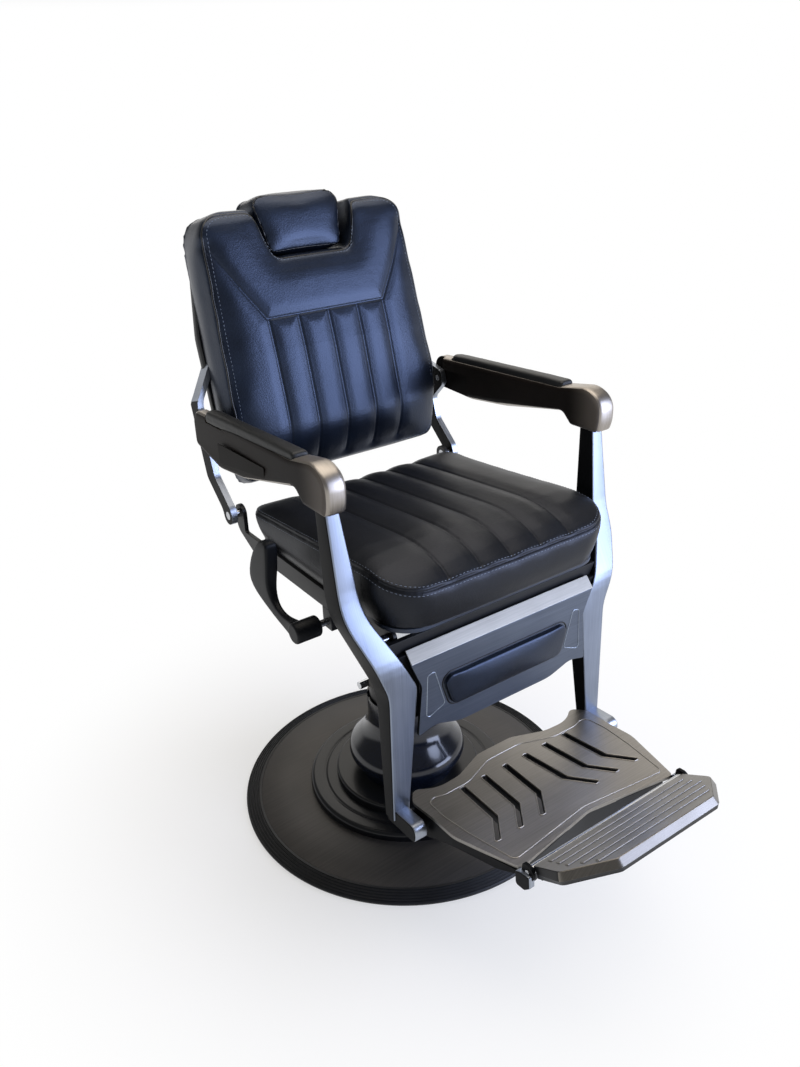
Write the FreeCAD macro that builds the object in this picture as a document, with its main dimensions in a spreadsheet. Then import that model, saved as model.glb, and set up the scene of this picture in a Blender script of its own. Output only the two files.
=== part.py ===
import FreeCAD, Part
import math
import os
import re
import Sketcher

# Barber chair, millimetres. The origin is the centre of the base's underside on the floor.
# +Z is up and the chair faces -Y, so the sitter's right hand is on -X.
# Heights and places are those of the chair as it stands, partly raised and upright.

SIZES = {
    # Fits
    "running_clearance": 0.05,
    "joint_clearance": 0.3,
    # Base disc, its step and the bell over the pump
    "base_radius": 340,
    "base_ring_width": 32,
    "base_ring_height": 13,
    "base_ring_lip": 4,
    "base_ring_slope": 5,
    "plate_top": 21,
    "step_radius": 203,
    "step_height": 18,
    "step_round": 9,
    "disc_radius": 148,
    "disc_height": 16,
    "disc_round": 5,
    "bell_foot_radius": 98,
    "bell_shoulder_radius": 121,
    "bell_shoulder_height": 52,
    "bell_shoulder_round": 22,
    "bell_neck_radius": 77,
    "bell_neck_height": 102,
    "bell_neck_round": 45,
    "bell_wall": 3,
    # Pump inside the bell
    "pump_height": 176,
    "pump_radius": 56,
    "pump_bore": 44,
    "pump_flange_radius": 90,
    "pump_flange_height": 8,
    "head_radius": 72,
    "head_height": 28,
    "bolt_circle": 74,
    "bolt_radius": 5,
    "bolt_head_radius": 9,
    "bolt_head_height": 6,
    "bolt_depth": 12,
    # Pump pedal
    "pedal_pivot_y": 52,
    "pedal_pivot_z": 245,
    "pedal_shaft_radius": 8,
    "pedal_shaft_end": 76,
    "pedal_arm_inner": 80,
    "pedal_arm_thick": 12,
    "pedal_hub_radius": 16,
    "pedal_reach": 163,
    "pedal_drop": 73,
    "pedal_arm_depth": 12,
    "pedal_pad_length": 60,
    "pedal_pad_width": 72,
    "pedal_pad_thick": 10,
    # Lifting rod and turntable
    "rod_radius": 38,
    "piston_height": 12,
    "lift_down": 115,
    "turntable_z": 500,
    "turntable_radius": 75,
    "turntable_height": 8,
    "spigot_radius": 25,
    "bearing_height": 6,
    "bearing_inner": 30,
    "bearing_outer": 70,
    # Seat frame
    "hub_radius": 62,
    "hub_height": 31,
    "mount_plate_thick": 8,
    "mount_plate_half_width": 140,
    "tube_size": 30,
    "tube_wall": 3,
    "front_tube_y": -172,
    "rear_tube_y": 90,
    "rail_inset": 4,
    "rail_thick": 8,
    "rail_bottom": 567,
    "rail_top": 600,
    "ear_radius": 16,
    "rail_bend_round": 40,
    "rail_rise_round": 30,
    "rail_notch_round": 4,
    "back_pivot_y": 170,
    "back_pivot_z": 634,
    "back_pin_radius": 8,
    "leg_pivot_y": -255,
    "leg_pivot_z": 560,
    "leg_pin_radius": 8,
    "leg_pin_bite": 23.8,
    "bracket_gap": 15.2,
    "bracket_thick": 7,
    "bracket_radius": 15,
    "pan_inset": 14,
    "pan_front_y": -290,
    "pan_thick": 19,
    "seat_half_width": 234,
    "seat_front_y": -322,
    "seat_rear_y": 150,
    "seat_front_height": 48,
    "seat_crest_height": 86,
    "seat_crest_y": -230,
    "seat_rear_height": 50,
    "seat_front_corner": 72,
    "seat_rear_corner": 40,
    "seat_front_round": 12,
    "seat_crest_round": 90,
    "seat_rear_round": 14,
    "strip_half_width": 165,
    "strip_front_y": -264,
    "strip_thick": 6,
    "strip_height": 15,
    # Recline lever on the sitter's right
    "lever_y": -128,
    "lever_z": 543,
    "lever_shaft_radius": 6,
    "lever_shaft_depth": 33,
    "lever_block_width": 26,
    "lever_hub_radius": 15,
    "lever_gap": 24,
    "lever_reach": 42,
    "lever_thick": 22,
    "lever_heel_round": 12,
    "lever_low_y": 72,
    "lever_low_z": -20,
    "lever_low_round": 60,
    "lever_rise_y": 136,
    "lever_rise_z": 12,
    "lever_rise_round": 40,
    "lever_wide_y": 162,
    "lever_wide_z": 52,
    "lever_wide_round": 30,
    "lever_tip_rear_y": 112,
    "lever_tip_rear_z": 128,
    "lever_tip_front_y": 78,
    "lever_tip_front_z": 138,
    "lever_tip_round": 9,
    "lever_grip_y": 80,
    "lever_grip_z": 56,
    "lever_grip_round": 50,
    "lever_neck_y": 48,
    "lever_neck_z": 14,
    "lever_neck_round": 30,
    # Recline lock under the seat
    "lock_x": 100,
    "lock_drop": 40,
    "lock_cylinder_radius": 14,
    "lock_cylinder_front_y": -150,
    "lock_cylinder_length": 190,
    "lock_rod_radius": 6,
    "lock_rod_length": 200,
    "lock_pin_radius": 5,
    "lock_eye_radius": 15,
    "lock_eye_slack": 4.5,
    "lock_eye_thick": 10,
    "lock_fork_gap": 2,
    "lock_fork_thick": 6,
    "lock_fork_radius": 13,
    "lock_fork_rise": 7,
    "lock_fork_round": 10,
    "lock_clamp_wall": 4,
    "lock_clamp_length": 16,
    "lock_clamp_inset": 40,
    # Back: the bars, board, cushion and headrest lean together
    "back_lean": 16.3,
    "bar_width": 34,
    "bar_thick": 12,
    "bar_gap": 11,
    "bar_top_gap": 3,
    "bar_link": 155,
    "bar_link_front": 10,
    "bar_lug_radius": 14,
    "bar_lug_spread": 38,
    "bar_lug_round": 12,
    "bar_jog_start": 12,
    "bar_jog_end": 72,
    "bar_jog_round": 28,
    "bar_tuck_start": 215,
    "bar_tuck_end": 290,
    "bar_top": 335,
    "bar_tuck_round": 30,
    "link_pin_radius": 6,
    "link_slack": 4,
    "board_front": 44,
    "board_thick": 10,
    "board_low": 70,
    "board_high": 425,
    "back_inset": 13,
    "back_low": 42,
    "back_knee": 174,
    "back_high": 518,
    "back_front": -51,
    "back_low_front": -6,
    "back_shoulder": 463,
    "back_shoulder_inset": 15,
    "back_crown_inset": 31,
    "back_low_inset": 10,
    "back_edge_round": 10,
    "back_top_round": 30,
    "back_knee_round": 90,
    "back_low_round": 8,
    "back_corner_round": 30,
    "back_flank_round": 200,
    "back_shoulder_round": 60,
    "back_crown_round": 24,
    "notch_low": 432,
    "notch_low_half_width": 79,
    "notch_high_half_width": 105,
    "notch_low_round": 14,
    "notch_high_round": 12,
    "headrest_low": 440,
    "headrest_high": 547,
    "headrest_low_half_width": 67,
    "headrest_high_half_width": 86,
    "headrest_front": -30,
    "headrest_low_round": 14,
    "headrest_high_round": 24,
    "post_half_width": 18,
    "post_thick": 6,
    "post_low": 290,
    "post_high": 500,
    "post_gap": 2,
    "socket_low": 320,
    "socket_high": 410,
    "socket_wall": 4,
    "head_bracket_low": 450,
    "head_bracket_high": 495,
    "head_bracket_half_width": 30,
    # Legs
    "leg_top_z": 818,
    "leg_top_gap": 27,
    "leg_top_width": 21,
    "leg_top_front_y": -218,
    "leg_top_rear_y": -190,
    "leg_shoulder_z": 612,
    "leg_gap": 10,
    "leg_shoulder_width": 39,
    "leg_chest_z": 640,
    "leg_chest_front_y": -247,
    "leg_chest_rear_y": -203,
    "leg_hip_z": 540,
    "leg_hip_front_y": -298,
    "leg_ankle_z": 483,
    "leg_ankle_outer": 235,
    "leg_ankle_inner": 180,
    "leg_calf_z": 450,
    "leg_calf_rear_y": -262,
    "leg_foot_z": 240,
    "leg_foot_outer": 238,
    "leg_foot_inner": 205,
    "leg_foot_front_y": -300,
    "leg_foot_rear_y": -275,
    "leg_top_round": 8,
    "leg_shoulder_round": 110,
    "leg_ankle_outer_round": 90,
    "leg_ankle_inner_round": 30,
    "leg_chest_round": 120,
    "leg_hip_round": 90,
    "leg_rear_round": 80,
    "toe_inset": 5,
    "toe_front_y": -348,
    "toe_top": 256,
    "toe_bottom": 225,
    "toe_nose_round": 14,
    "toe_heel_round": 4,
    # Front panel between the legs
    "panel_front_y": -304,
    "panel_thick": 6,
    "panel_gap": 4,
    "panel_fold_z": 531,
    "panel_top_y": -287.5,
    "panel_top_z": 549.5,
    "panel_corner_z": 391,
    "panel_dip_half_width": 150,
    "panel_dip_z": 400,
    "panel_low_half_width": 100,
    "panel_low_z": 384,
    "panel_strip_thick": 2,
    "panel_low_round": 90,
    "panel_dip_round": 40,
    "panel_corner_round": 3,
    "panel_waist_round": 24,
    "knee_pad_top_z": 487,
    "knee_pad_bottom_z": 427,
    "knee_pad_top_half_width": 139,
    "knee_pad_bottom_half_width": 119,
    "knee_pad_thick": 12,
    "knee_pad_round": 16,
    "cross_bar_depth": 10,
    "cross_bar_bottom": 541,
    "cross_bar_top": 566,
    # Arms
    "arm_gap": 18,
    "arm_width": 39,
    "arm_wall": 4,
    "arm_pivot_y": -206,
    "arm_pivot_z": 806,
    "arm_pin_radius": 7,
    "arm_rear_y": 226,
    "arm_taper_y": 110,
    "arm_rear_width": 29,
    "arm_rear_corner": 13,
    "arm_slot_gap": 1,
    "arm_rear_top": 817,
    "arm_rear_bottom": 764,
    "arm_low_y": 110,
    "arm_low_z": 750,
    "arm_step_y": -150,
    "arm_seat_z": 835,
    "arm_pad_thick": 13,
    "arm_pad_rear_y": 165,
    "arm_crown_y": -212,
    "arm_crown_z": 864,
    "arm_nose_y": -250,
    "arm_nose_z": 848,
    "arm_sleeve_bottom": 783,
    "arm_sleeve_rear_y": -170,
    "arm_throat_y": -148,
    "arm_throat_z": 803,
    "arm_cavity_rear_y": -180,
    "arm_cavity_top": 838,
    "arm_slot_front_y": 112,
    "arm_slot_neck_y": 190,
    "arm_link_depth": 24,
    "arm_rear_round": 7,
    "arm_belly_y": 20,
    "arm_belly_z": 760,
    "arm_belly_round": 110,
    "arm_crown_round": 18,
    "arm_nose_round": 24,
    "arm_chin_y": -246,
    "arm_chin_z": 801,
    "arm_chin_round": 28,
    "arm_sleeve_front_y": -236,
    "arm_sleeve_round": 4,
    "arm_throat_round": 16,
    "arm_pin_inset": 2,
    "arm_pad_round": 8,
    "arm_pad_front_round": 2,
    # Footrest, hinged at the toes
    "footrest_pivot_y": -328,
    "footrest_pivot_z": 234,
    "footrest_tilt": 4.5,
    "footrest_pin_radius": 6,
    "footrest_pin_outer": 231,
    "footrest_top": 34,
    "footrest_thick": 6,
    "footrest_rear": 46,
    "footrest_rear_half_width": 190,
    "footrest_half_width": 202,
    "footrest_taper_start": -85,
    "footrest_front": -208,
    "footrest_front_half_width": 169,
    "footrest_notch": -180,
    "footrest_notch_half_width": 2,
    "footrest_hip": -12,
    "footrest_rear_round": 14,
    "footrest_hip_round": 40,
    "footrest_taper_round": 60,
    "footrest_front_round": 8,
    "slot_width": 9,
    "slot_pitch": 47,
    "slot_rear_x": 23,
    "slot_kink_x": 30,
    "slot_front_x": 62,
    "slot_rear": -4,
    "slot_kink": -97,
    "slot_front": -141,
    "flange_thick": 6,
    "flange_rear": 18,
    "flange_depth": 15,
    "flange_heel_round": 14,
    "flange_top_round": 4,
    "flange_belly_depth": 17,
    "flange_belly": -168,
    "flange_belly_round": 50,
    "flange_nose_run": 24,
    # Flip plate on the front of the footrest
    "flip_pivot_y": -551,
    "flip_pivot_z": 293,
    "flip_angle": 30,
    "flip_tube_radius": 7,
    "flip_pin_radius": 4,
    "flip_ear_radius": 11,
    "flip_ear_gap": 2,
    "flip_half_width": 165,
    "flip_shoulder": -66,
    "flip_nose": -124,
    "flip_nose_half_width": 103,
    "flip_thick": 6,
    "flip_rib_height": 3,
    "flip_rib_width": 7,
    "flip_rib_pitch": 17,
    "flip_rib_start": -18,
    "flip_rib_inset": 22,
    "flip_edge_round": 2,
    "flip_shoulder_round": 20,
    "flip_nose_round": 6,
    "flip_pin_depth": 20,
    "flip_pin_head": 2,
}

SIDES = (("right", -1), ("left", 1))
NAME = re.compile(r"[a-z][a-z0-9_]*")

doc = FreeCAD.newDocument("BarberChair")
sheet = doc.addObject("Spreadsheet::Sheet", "Sizes")
for row, (alias, number) in enumerate(SIZES.items(), 1):
    sheet.set(f"A{row}", alias)
    sheet.set(f"B{row}", str(number))
    sheet.setAlias(f"B{row}", alias)
doc.recompute()

nodes = []


def formula(text):
    """A size formula with every size name pointed at its cell."""
    def cell(match):
        word = match.group()
        return "Sizes." + word if word in SIZES else word
    return NAME.sub(cell, str(text))


def number_of(text):
    return float(sheet.evalExpression(formula(text)))


def node(thing):
    """Keep a finished sub-part for export."""
    nodes.append(thing)
    return thing


def place(thing, x=0, y=0, z=0, turn=None):
    """Bind a thing's position, and its turn about -X in degrees."""
    if turn is not None:
        # Pieces lean back or tip up, which is a turn about -X.
        thing.Placement.Rotation = FreeCAD.Rotation(FreeCAD.Vector(-1, 0, 0), number_of(turn))
        thing.setExpression("Placement.Rotation.Angle", formula(turn))
    for axis, text in zip("xyz", (x, y, z)):
        if text != 0:
            thing.setExpression(f"Placement.Base.{axis}", formula(text))
    return thing


def rounding(before, corner, after, radius):
    """Where an arc of this radius leaves and joins the two sides of a corner, and its centre."""
    back = (before - corner).normalize()
    ahead = (after - corner).normalize()
    half = back.getAngle(ahead) / 2
    leg = radius / math.tan(half)
    centre = corner + (back + ahead).normalize() * (radius / math.sin(half))
    return corner + back * leg, corner + ahead * leg, centre


def bind(sketch, index, name, text):
    sketch.renameConstraint(index, name)
    sketch.setExpression("Constraints." + name, formula(text))


def pin_point(sketch, geometry, end, count, u, v):
    """Fix one point of the sketch at the formulas u and v."""
    for kind, letter, text in (("DistanceX", "u", u), ("DistanceY", "v", v)):
        rule = Sketcher.Constraint(kind, -1, 1, geometry, end, number_of(text))
        bind(sketch, sketch.addConstraint(rule), f"{letter}{count}", text)


def draw(sketch, corners):
    """Close an outline through corners (u, v) or (u, v, radius), each bound to its formulas."""
    points = [FreeCAD.Vector(number_of(c[0]), number_of(c[1]), 0) for c in corners]
    total = len(points)
    joins = []
    for i, corner in enumerate(corners):
        if len(corner) == 3:
            radius = number_of(corner[2])
            joins.append(rounding(points[i - 1], points[i], points[(i + 1) % total], radius))
        else:
            joins.append((points[i], points[i]))
    lines = []
    for i in range(total):
        segment = Part.LineSegment(joins[i][1], joins[(i + 1) % total][0])
        lines.append(sketch.addGeometry(segment, False))
    for i, corner in enumerate(corners):
        if len(corner) == 2:
            sketch.addConstraint(Sketcher.Constraint("Coincident", lines[i - 1], 2, lines[i], 1))
            pin_point(sketch, lines[i], 1, i, corner[0], corner[1])
        else:
            round_corner(sketch, lines[i - 1], lines[i], points[i], joins[i], corner, i)


def round_corner(sketch, line_in, line_out, point, join, corner, count):
    """An arc tangent to both lines, with the sharp corner kept as a fixed point."""
    start, end, centre = join
    ray_in = start - centre
    ray_out = end - centre
    turns_left = ray_in.cross(ray_out).z > 0
    first, last = (ray_in, ray_out) if turns_left else (ray_out, ray_in)
    circle = Part.Circle(centre, FreeCAD.Vector(0, 0, 1), ray_in.Length)
    angle_first = math.atan2(first.y, first.x)
    angle_last = math.atan2(last.y, last.x)
    arc = sketch.addGeometry(Part.ArcOfCircle(circle, angle_first, angle_last), False)
    end_in, end_out = (1, 2) if turns_left else (2, 1)
    sketch.addConstraint(Sketcher.Constraint("Tangent", line_in, 2, arc, end_in))
    sketch.addConstraint(Sketcher.Constraint("Tangent", arc, end_out, line_out, 1))
    radius = sketch.addConstraint(Sketcher.Constraint("Radius", arc, number_of(corner[2])))
    bind(sketch, radius, f"r{count}", corner[2])
    sharp = sketch.addGeometry(Part.Point(point), True)
    sketch.addConstraint(Sketcher.Constraint("PointOnObject", sharp, 1, line_in))
    sketch.addConstraint(Sketcher.Constraint("PointOnObject", sharp, 1, line_out))
    pin_point(sketch, sharp, 1, count, corner[0], corner[1])


def outlined_body(label, plane, corners):
    """A body with one sketch on an origin plane."""
    body = doc.addObject("PartDesign::Body", label)
    body.Label = label
    sketch = body.newObject("Sketcher::SketchObject", label + "_outline")
    planes = {feature.Role: feature for feature in body.Origin.OriginFeatures}
    sketch.AttachmentSupport = (planes[plane + "_Plane"], "")
    sketch.MapMode = "FlatFace"
    draw(sketch, corners)
    return body, sketch


def prism(label, plane, corners, start, depth):
    """An outline padded along the plane's own axis, from start over depth."""
    body, sketch = outlined_body(label, plane, corners)
    # The XZ plane faces -Y, so its sketch stands at the far end of the pad.
    offset = f"-({start}) - ({depth})" if plane == "XZ" else start
    sketch.setExpression("AttachmentOffset.Base.z", formula(offset))
    pad = body.newObject("PartDesign::Pad", label + "_pad")
    pad.Profile = sketch
    pad.setExpression("Length", formula(depth))
    body.Tip = pad
    return body


def turned(label, corners):
    """A profile of (radius, height) corners turned about the chair's column."""
    body, sketch = outlined_body(label, "XZ", corners)
    revolution = body.newObject("PartDesign::Revolution", label + "_turn")
    revolution.Profile = sketch
    revolution.ReferenceAxis = (sketch, ["V_Axis"])
    revolution.Angle = 360
    body.Tip = revolution
    return body


def rod(label, axis, radius, start, length, across, up):
    """A round bar along an axis; across and up place it on the other two axes in order."""
    bar = doc.addObject("Part::Cylinder", label)
    bar.Label = label
    bar.setExpression("Radius", formula(radius))
    bar.setExpression("Height", formula(length))
    if axis == "X":
        bar.Placement.Rotation = FreeCAD.Rotation(FreeCAD.Vector(0, 1, 0), 90)
        return place(bar, start, across, up)
    if axis == "Y":
        bar.Placement.Rotation = FreeCAD.Rotation(FreeCAD.Vector(1, 0, 0), -90)
        return place(bar, across, start, up)
    return place(bar, across, up, start)


def block(label, x, y, z):
    """A box between pairs of formulas (low, high) on each axis."""
    box = doc.addObject("Part::Box", label)
    box.Label = label
    for size, (low, high) in zip(("Length", "Width", "Height"), (x, y, z)):
        box.setExpression(size, formula(f"({high}) - ({low})"))
    return place(box, x[0], y[0], z[0])


def slab(label, x, y, z):
    """A box as a padded rectangle, so that it can be placed again in a leaning frame."""
    rectangle = [(x[0], z[0]), (x[1], z[0]), (x[1], z[1]), (x[0], z[1])]
    return prism(label, "XZ", rectangle, y[0], f"({y[1]}) - ({y[0]})")


def cut(label, solid, *tools):
    """A solid with tools taken away, one after another."""
    for count, tool in enumerate(tools, 1):
        step = doc.addObject("Part::Cut", label if count == len(tools) else f"{label}_cut{count}")
        step.Base = solid
        step.Tool = tool
        solid = step
    solid.Label = label
    return solid


def common(label, first, second):
    """What two views of one piece share."""
    shared = doc.addObject("Part::Common", label)
    shared.Label = label
    shared.Base = first
    shared.Tool = second
    return shared


def fuse(label, first, second):
    joined = doc.addObject("Part::Fuse", label)
    joined.Label = label
    joined.Base = first
    joined.Tool = second
    return joined


def group(label, members):
    """Separate like pieces kept under one name."""
    set_of = doc.addObject("Part::Compound", label)
    set_of.Label = label
    set_of.Links = members
    return set_of


def span(sign, inner, outer):
    """Start and width along X of a piece between two distances from the middle plane."""
    start = inner if sign > 0 else f"-({outer})"
    return start, f"({outer}) - ({inner})"


def mirrored(half):
    """A whole outline from the half on +u, listed from its first to its last corner."""
    other = [(f"-({c[0]})", *c[1:]) for c in reversed(half)]
    return half + other


def on_side(sign, corners):
    """An outline on +X carried to the given side."""
    return [(f"({sign}) * ({c[0]})", *c[1:]) for c in corners]


# Heights and half widths that several pieces share
STEP_TOP = "plate_top + step_height"
DISC_TOP = f"{STEP_TOP} + disc_height"
BORE_FLOOR = f"{DISC_TOP} + pump_flange_height"
HEAD_BOTTOM = f"{DISC_TOP} + pump_height"
PISTON_BOTTOM = f"{BORE_FLOOR} + lift_down + joint_clearance"
TURNTABLE_TOP = "turntable_z + turntable_height"
HUB_BOTTOM = f"{TURNTABLE_TOP} + bearing_height + joint_clearance"
PLATE_BOTTOM = f"{HUB_BOTTOM} + hub_height"
FRAME_BOTTOM = f"{PLATE_BOTTOM} + mount_plate_thick"
PAN_BOTTOM = f"{FRAME_BOTTOM} + tube_size"
CUSHION_BOTTOM = f"{PAN_BOTTOM} + pan_thick"
PAN_HALF = "(seat_half_width - pan_inset)"
RAIL_INNER = "(seat_half_width - rail_inset)"
RAIL_OUTER = f"({RAIL_INNER} + rail_thick)"
LEVER_INNER = f"({RAIL_OUTER} + lever_gap)"
LEVER_OUTER = f"({LEVER_INNER} + lever_reach)"
BACK_HALF = "(seat_half_width - back_inset)"
BAR_INNER = f"({RAIL_OUTER} + bar_gap)"
BAR_OUTER = f"({BAR_INNER} + bar_thick)"
BAR_TOP_INNER = f"({BACK_HALF} + bar_top_gap)"
LEG_SHOULDER_INNER = "(seat_half_width + leg_gap)"
LEG_SHOULDER_OUTER = f"({LEG_SHOULDER_INNER} + leg_shoulder_width)"
LEG_TOP_INNER = "(seat_half_width + leg_top_gap)"
LEG_TOP_OUTER = f"({LEG_TOP_INNER} + leg_top_width)"
ARM_INNER = "(seat_half_width + arm_gap)"
ARM_OUTER = f"({ARM_INNER} + arm_width)"
ARM_LINK_END = f"({ARM_INNER} + arm_link_depth)"
SLOT_OUTER = f"({BAR_OUTER} + arm_slot_gap)"
LOCK_Z = "leg_pivot_z - lock_drop"
BOARD_BACK = "board_front + board_thick"
POST_FRONT = f"{BOARD_BACK} + post_gap"
POST_BACK = f"{POST_FRONT} + post_thick"
LINK_Y = "back_pivot_y + bar_link * sin(back_lean) - bar_link_front * cos(back_lean)"
LINK_Z = "back_pivot_z + bar_link * cos(back_lean) + bar_link_front * sin(back_lean)"


def leg_inner_at(height):
    """How far the leg's inner edge stands from the middle, between ankle and shoulder."""
    slope = f"({LEG_SHOULDER_INNER} - leg_ankle_inner) / (leg_shoulder_z - leg_ankle_z)"
    return f"(leg_ankle_inner + ({height} - leg_ankle_z) * {slope})"


BRACKET_INNER = f"({leg_inner_at('leg_pivot_z')} - bracket_gap - bracket_thick)"
LEG_PIN_END = f"({leg_inner_at('leg_pivot_z')} + leg_pin_bite)"


def base_parts():
    node(turned("base_edge_ring", [
        ("base_radius - base_ring_width", 0),
        ("base_radius", 0),
        ("base_radius", "base_ring_lip"),
        ("base_radius - base_ring_slope", "base_ring_height"),
        ("base_radius - base_ring_width", "base_ring_height"),
    ]))
    node(turned("base_plate", [
        (0, 0),
        ("base_radius - base_ring_width", 0),
        ("base_radius - base_ring_width", "base_ring_height"),
        ("step_radius", "plate_top"),
        (0, "plate_top"),
    ]))
    node(turned("base_step", [
        (0, "plate_top"),
        ("step_radius", "plate_top"),
        ("step_radius", STEP_TOP, "step_round"),
        (0, STEP_TOP),
    ]))
    disc = turned("base_disc_blank", [
        (0, STEP_TOP),
        ("disc_radius", STEP_TOP),
        ("disc_radius", DISC_TOP, "disc_round"),
        (0, DISC_TOP),
    ])
    node(cut("base_disc", disc, bolt_holes("disc", f"{DISC_TOP} - bolt_depth", "bolt_depth")))
    node(turned("bell_cover", [
        ("bell_foot_radius - bell_wall", DISC_TOP),
        ("bell_foot_radius", DISC_TOP),
        ("bell_shoulder_radius", f"{DISC_TOP} + bell_shoulder_height", "bell_shoulder_round"),
        ("bell_neck_radius", f"{DISC_TOP} + bell_neck_height", "bell_neck_round"),
        ("bell_neck_radius", f"{HEAD_BOTTOM} - joint_clearance"),
        ("bell_neck_radius - bell_wall", f"{HEAD_BOTTOM} - joint_clearance"),
        ("bell_neck_radius - bell_wall", f"{DISC_TOP} + bell_neck_height", "bell_neck_round"),
        ("bell_shoulder_radius - bell_wall", f"{DISC_TOP} + bell_shoulder_height", "bell_shoulder_round"),
    ]))


def bolt_holes(owner, start, depth):
    """Four holes for the pump's bolts, with a little room round each."""
    holes = []
    for count in range(4):
        x = f"bolt_circle * cos({45 + 90 * count})"
        y = f"bolt_circle * sin({45 + 90 * count})"
        hole = rod(f"{owner}_bolt_hole{count}", "Z", "bolt_radius + joint_clearance", start, depth, x, y)
        holes.append(hole)
    return group(owner + "_bolt_holes", holes)


def pump_parts():
    tube = turned("pump_cylinder_blank", [
        (0, DISC_TOP),
        ("pump_flange_radius", DISC_TOP),
        ("pump_flange_radius", BORE_FLOOR),
        ("pump_radius", BORE_FLOOR),
        ("pump_radius", HEAD_BOTTOM),
        ("pump_bore", HEAD_BOTTOM),
        ("pump_bore", BORE_FLOOR),
        (0, BORE_FLOOR),
    ])
    node(cut("pump_cylinder", tube, bolt_holes("pump", DISC_TOP, "pump_flange_height")))
    head = turned("pump_head_blank", [
        ("rod_radius + running_clearance", HEAD_BOTTOM),
        ("head_radius", HEAD_BOTTOM),
        ("head_radius", f"{HEAD_BOTTOM} + head_height"),
        ("rod_radius + running_clearance", f"{HEAD_BOTTOM} + head_height"),
    ])
    pivot = rod("pump_head_pivot", "X", "pedal_shaft_radius + running_clearance",
                "-head_radius", "2 * head_radius", "pedal_pivot_y", "pedal_pivot_z")
    node(cut("pump_head", head, pivot))
    bolts = []
    for count in range(4):
        x = f"bolt_circle * cos({45 + 90 * count})"
        y = f"bolt_circle * sin({45 + 90 * count})"
        shank = rod(f"pump_bolt_shank{count}", "Z", "bolt_radius", f"{DISC_TOP} - bolt_depth",
                    "bolt_depth + pump_flange_height", x, y)
        head = rod(f"pump_bolt_head{count}", "Z", "bolt_head_radius", BORE_FLOOR, "bolt_head_height", x, y)
        bolts.append(fuse(f"pump_bolt{count}", shank, head))
    node(group("pump_bolts", bolts))


def pedal_parts():
    node(rod("pedal_shaft", "X", "pedal_shaft_radius", "-pedal_shaft_end",
             "pedal_shaft_end + pedal_arm_inner + pedal_arm_thick", "pedal_pivot_y", "pedal_pivot_z"))
    end_y = "pedal_pivot_y + pedal_reach"
    end_z = "pedal_pivot_z - pedal_drop"
    arm = prism("pedal_arm_blank", "YZ", [
        ("pedal_pivot_y - pedal_hub_radius", "pedal_pivot_z + pedal_hub_radius", "pedal_hub_radius / 2"),
        ("pedal_pivot_y + pedal_hub_radius", "pedal_pivot_z + pedal_hub_radius", "pedal_hub_radius / 2"),
        (f"{end_y} - pedal_pad_length", end_z),
        (end_y, end_z),
        (end_y, f"{end_z} - pedal_arm_depth"),
        (f"{end_y} - pedal_pad_length - pedal_arm_depth", f"{end_z} - pedal_arm_depth"),
        ("pedal_pivot_y - pedal_hub_radius", "pedal_pivot_z - pedal_hub_radius", "pedal_hub_radius / 2"),
    ], "pedal_arm_inner", "pedal_arm_thick")
    bore = rod("pedal_arm_bore", "X", "pedal_shaft_radius", "pedal_arm_inner", "pedal_arm_thick",
               "pedal_pivot_y", "pedal_pivot_z")
    node(cut("pedal_arm", arm, bore))
    middle = "pedal_arm_inner + pedal_arm_thick / 2"
    node(block("pedal_pad", (f"{middle} - pedal_pad_width / 2", f"{middle} + pedal_pad_width / 2"),
               (f"{end_y} - pedal_pad_length", end_y), (end_z, f"{end_z} + pedal_pad_thick")))


def lift_parts():
    node(turned("lift_ram", [
        (0, PISTON_BOTTOM),
        ("pump_bore - running_clearance", PISTON_BOTTOM),
        ("pump_bore - running_clearance", f"{PISTON_BOTTOM} + piston_height"),
        ("rod_radius", f"{PISTON_BOTTOM} + piston_height"),
        ("rod_radius", "turntable_z"),
        ("spigot_radius", "turntable_z"),
        ("spigot_radius", f"{PLATE_BOTTOM} - joint_clearance"),
        (0, f"{PLATE_BOTTOM} - joint_clearance"),
    ]))
    node(turned("turntable", [
        ("spigot_radius", "turntable_z"),
        ("turntable_radius", "turntable_z"),
        ("turntable_radius", TURNTABLE_TOP),
        ("spigot_radius", TURNTABLE_TOP),
    ]))
    node(turned("swivel_bearing", [
        ("bearing_inner", TURNTABLE_TOP),
        ("bearing_outer", TURNTABLE_TOP),
        ("bearing_outer", f"{TURNTABLE_TOP} + bearing_height"),
        ("bearing_inner", f"{TURNTABLE_TOP} + bearing_height"),
    ]))


def cross_tube(label, front_y):
    """A square tube under the seat pan, from rail to rail."""
    rear_y = f"{front_y} + tube_size"
    outer = block(label + "_blank", (f"-{RAIL_INNER}", RAIL_INNER), (front_y, rear_y),
                  (FRAME_BOTTOM, PAN_BOTTOM))
    hollow = block(label + "_hollow", (f"-{RAIL_INNER}", RAIL_INNER),
                   (f"{front_y} + tube_wall", f"{rear_y} - tube_wall"),
                   (f"{FRAME_BOTTOM} + tube_wall", f"{PAN_BOTTOM} - tube_wall"))
    return cut(label, outer, hollow)


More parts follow.
